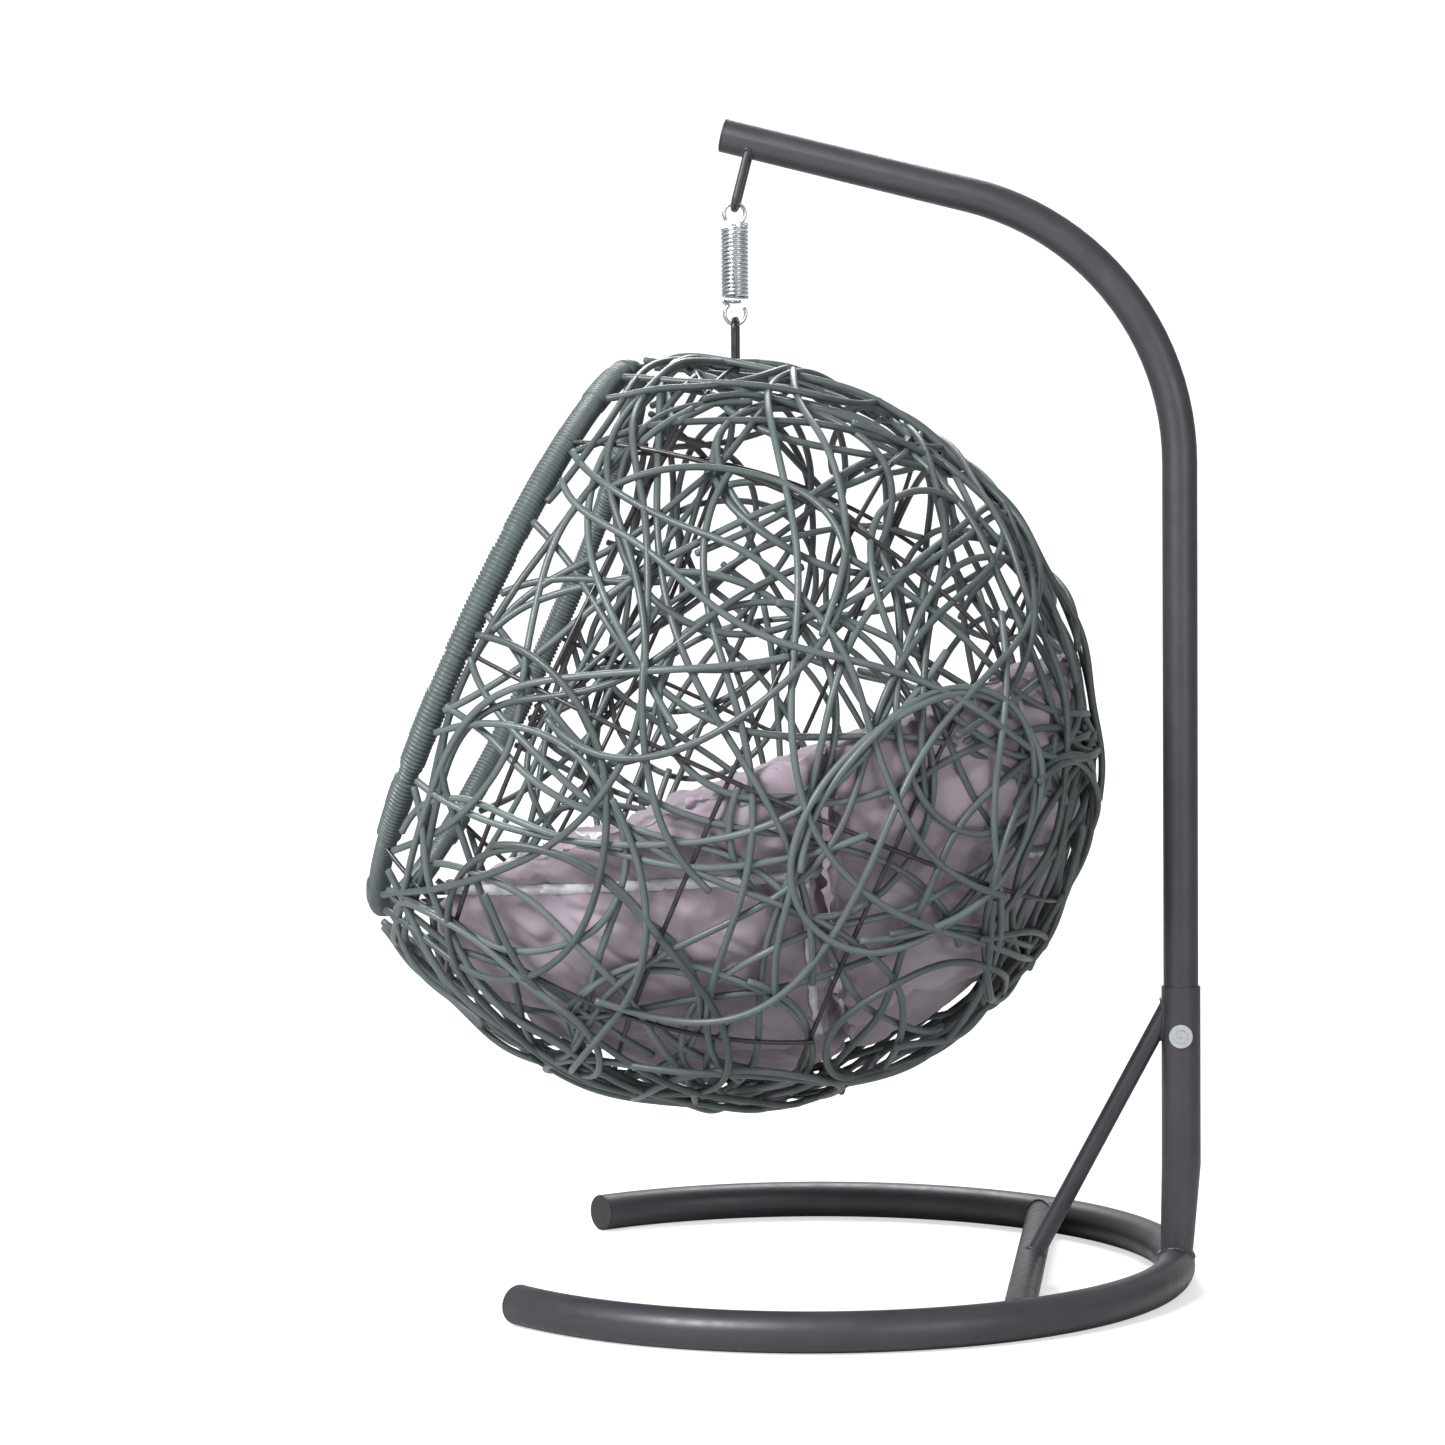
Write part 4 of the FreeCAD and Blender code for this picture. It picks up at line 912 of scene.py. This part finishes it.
class EGGCHAIR_OT_tapes(bpy.types.Operator):
    """Sew flat tapes on the outside of the cushions: one round them, one down each side."""

    bl_idname = "egg_chair.tapes"
    bl_label = "Seam tapes"

    def execute(self, context):
        egg = Egg()
        depsgraph = context.evaluated_depsgraph_get()
        seat, back = (bpy.data.objects[name] for name in ("seat_pad", "back_pad"))
        parts = []
        clear_of_all, round_half_width, side_half_width = 1.1, 0.0085, 0.0075
        middle = Vector((0, egg.centre.y, 0))
        for obj, first, last in ((seat, -88, 62), (back, 70, 90)):
            for side in (1, -1):
                line = []
                for angle in np.linspace(math.radians(first), math.radians(last), 90):
                    out = Vector((side * math.cos(angle), math.sin(angle), 0))
                    start = middle + out * clear_of_all
                    start.z = seam_height(egg.centre.y + 0.45 * out.y)
                    line.append(self.touch(obj, depsgraph, start, -out))
                parts.extend(self.strip(line, Vector((0, 0, 1)), round_half_width))
        seam_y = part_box("seat_cushion")[1][1] - 0.030
        for side in (1, -1):
            line = [self.touch(seat, depsgraph, Vector((side * clear_of_all, seam_y, height)),
                               Vector((-side, 0, 0)))
                    for height in np.linspace(0.70, 0.44, 50)]
            parts.extend(self.strip(line, Vector((0, 1, 0)), side_half_width))
        made = new_mesh("seam_tapes", parts, tape_finish())
        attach(made, "basket")
        return {"FINISHED"}

    def touch(self, obj, depsgraph, start, way):
        """Where a ray first meets a cushion, with the surface's normal, or None."""
        inverse = obj.matrix_world.inverted()
        hit, place, normal, _ = obj.ray_cast(inverse @ start, way, depsgraph=depsgraph)
        return (obj.matrix_world @ place, normal) if hit else None

    def strip(self, line, across, half_width):
        """A thin closed strip along each unbroken run of touched points."""
        runs, run = [], []
        for item in line + [None]:
            if item is None or (run and (item[0] - run[-1][0]).length > 0.05):
                if len(run) > 4:
                    runs.append(run)
                run = [item] if item is not None else []
            else:
                run.append(item)
        parts = []
        for run in runs:
            vertices, faces = [], []
            for row, (place, normal) in enumerate(run):
                flat = (across - normal * across.dot(normal)).normalized()
                for lift in (0.0035, 0.0020):
                    for sign in (-1, 1):
                        vertices.append(tuple(place + normal * lift + flat * half_width * sign))
                if row:
                    old, new = 4 * (row - 1), 4 * row
                    faces += [(old, old + 1, new + 1, new), (old + 3, old + 2, new + 2, new + 3),
                              (old + 2, old, new, new + 2), (old + 1, old + 3, new + 3, new + 1)]
            last = 4 * (len(run) - 1)
            faces += [(0, 2, 3, 1), (last, last + 1, last + 3, last + 2)]
            parts.append((vertices, faces))
        return parts


class EGGCHAIR_PT_panel(bpy.types.Panel):
    """Sidebar panel with the sizes, the colours and the steps."""

    bl_idname = "EGGCHAIR_PT_panel"
    bl_label = "Hanging egg chair"
    bl_space_type = "VIEW_3D"
    bl_region_type = "UI"
    bl_category = "Egg chair"

    def draw(self, context):
        column = self.layout.column()
        for group in (context.scene.egg_chair_sizes, context.scene.egg_chair_colours):
            for name in group.__annotations__:
                column.prop(group, name)
        for operator in OPERATORS:
            column.operator(operator.bl_idname)


OPERATORS = (
    EGGCHAIR_OT_stage,
    EGGCHAIR_OT_metal,
    EGGCHAIR_OT_welds,
    EGGCHAIR_OT_rim,
    EGGCHAIR_OT_weave,
    EGGCHAIR_OT_cushions,
    EGGCHAIR_OT_tapes,
)
CLASSES = (EggChairSizes, EggChairColours, EGGCHAIR_PT_panel) + OPERATORS


def register():
    """Register the classes and the scene's property groups."""
    for item in CLASSES:
        bpy.utils.register_class(item)
    bpy.types.Scene.egg_chair_sizes = bpy.props.PointerProperty(type=EggChairSizes)
    bpy.types.Scene.egg_chair_colours = bpy.props.PointerProperty(type=EggChairColours)


def unregister():
    """Take away what register added."""
    del bpy.types.Scene.egg_chair_colours
    del bpy.types.Scene.egg_chair_sizes
    for item in reversed(CLASSES):
        bpy.utils.unregister_class(item)


def main():
    """Register the add-on, then build everything."""
    register()
    for operator in OPERATORS:
        group, name = operator.bl_idname.split(".")
        getattr(getattr(bpy.ops, group), name)()


if __name__ == "__main__":
    main()
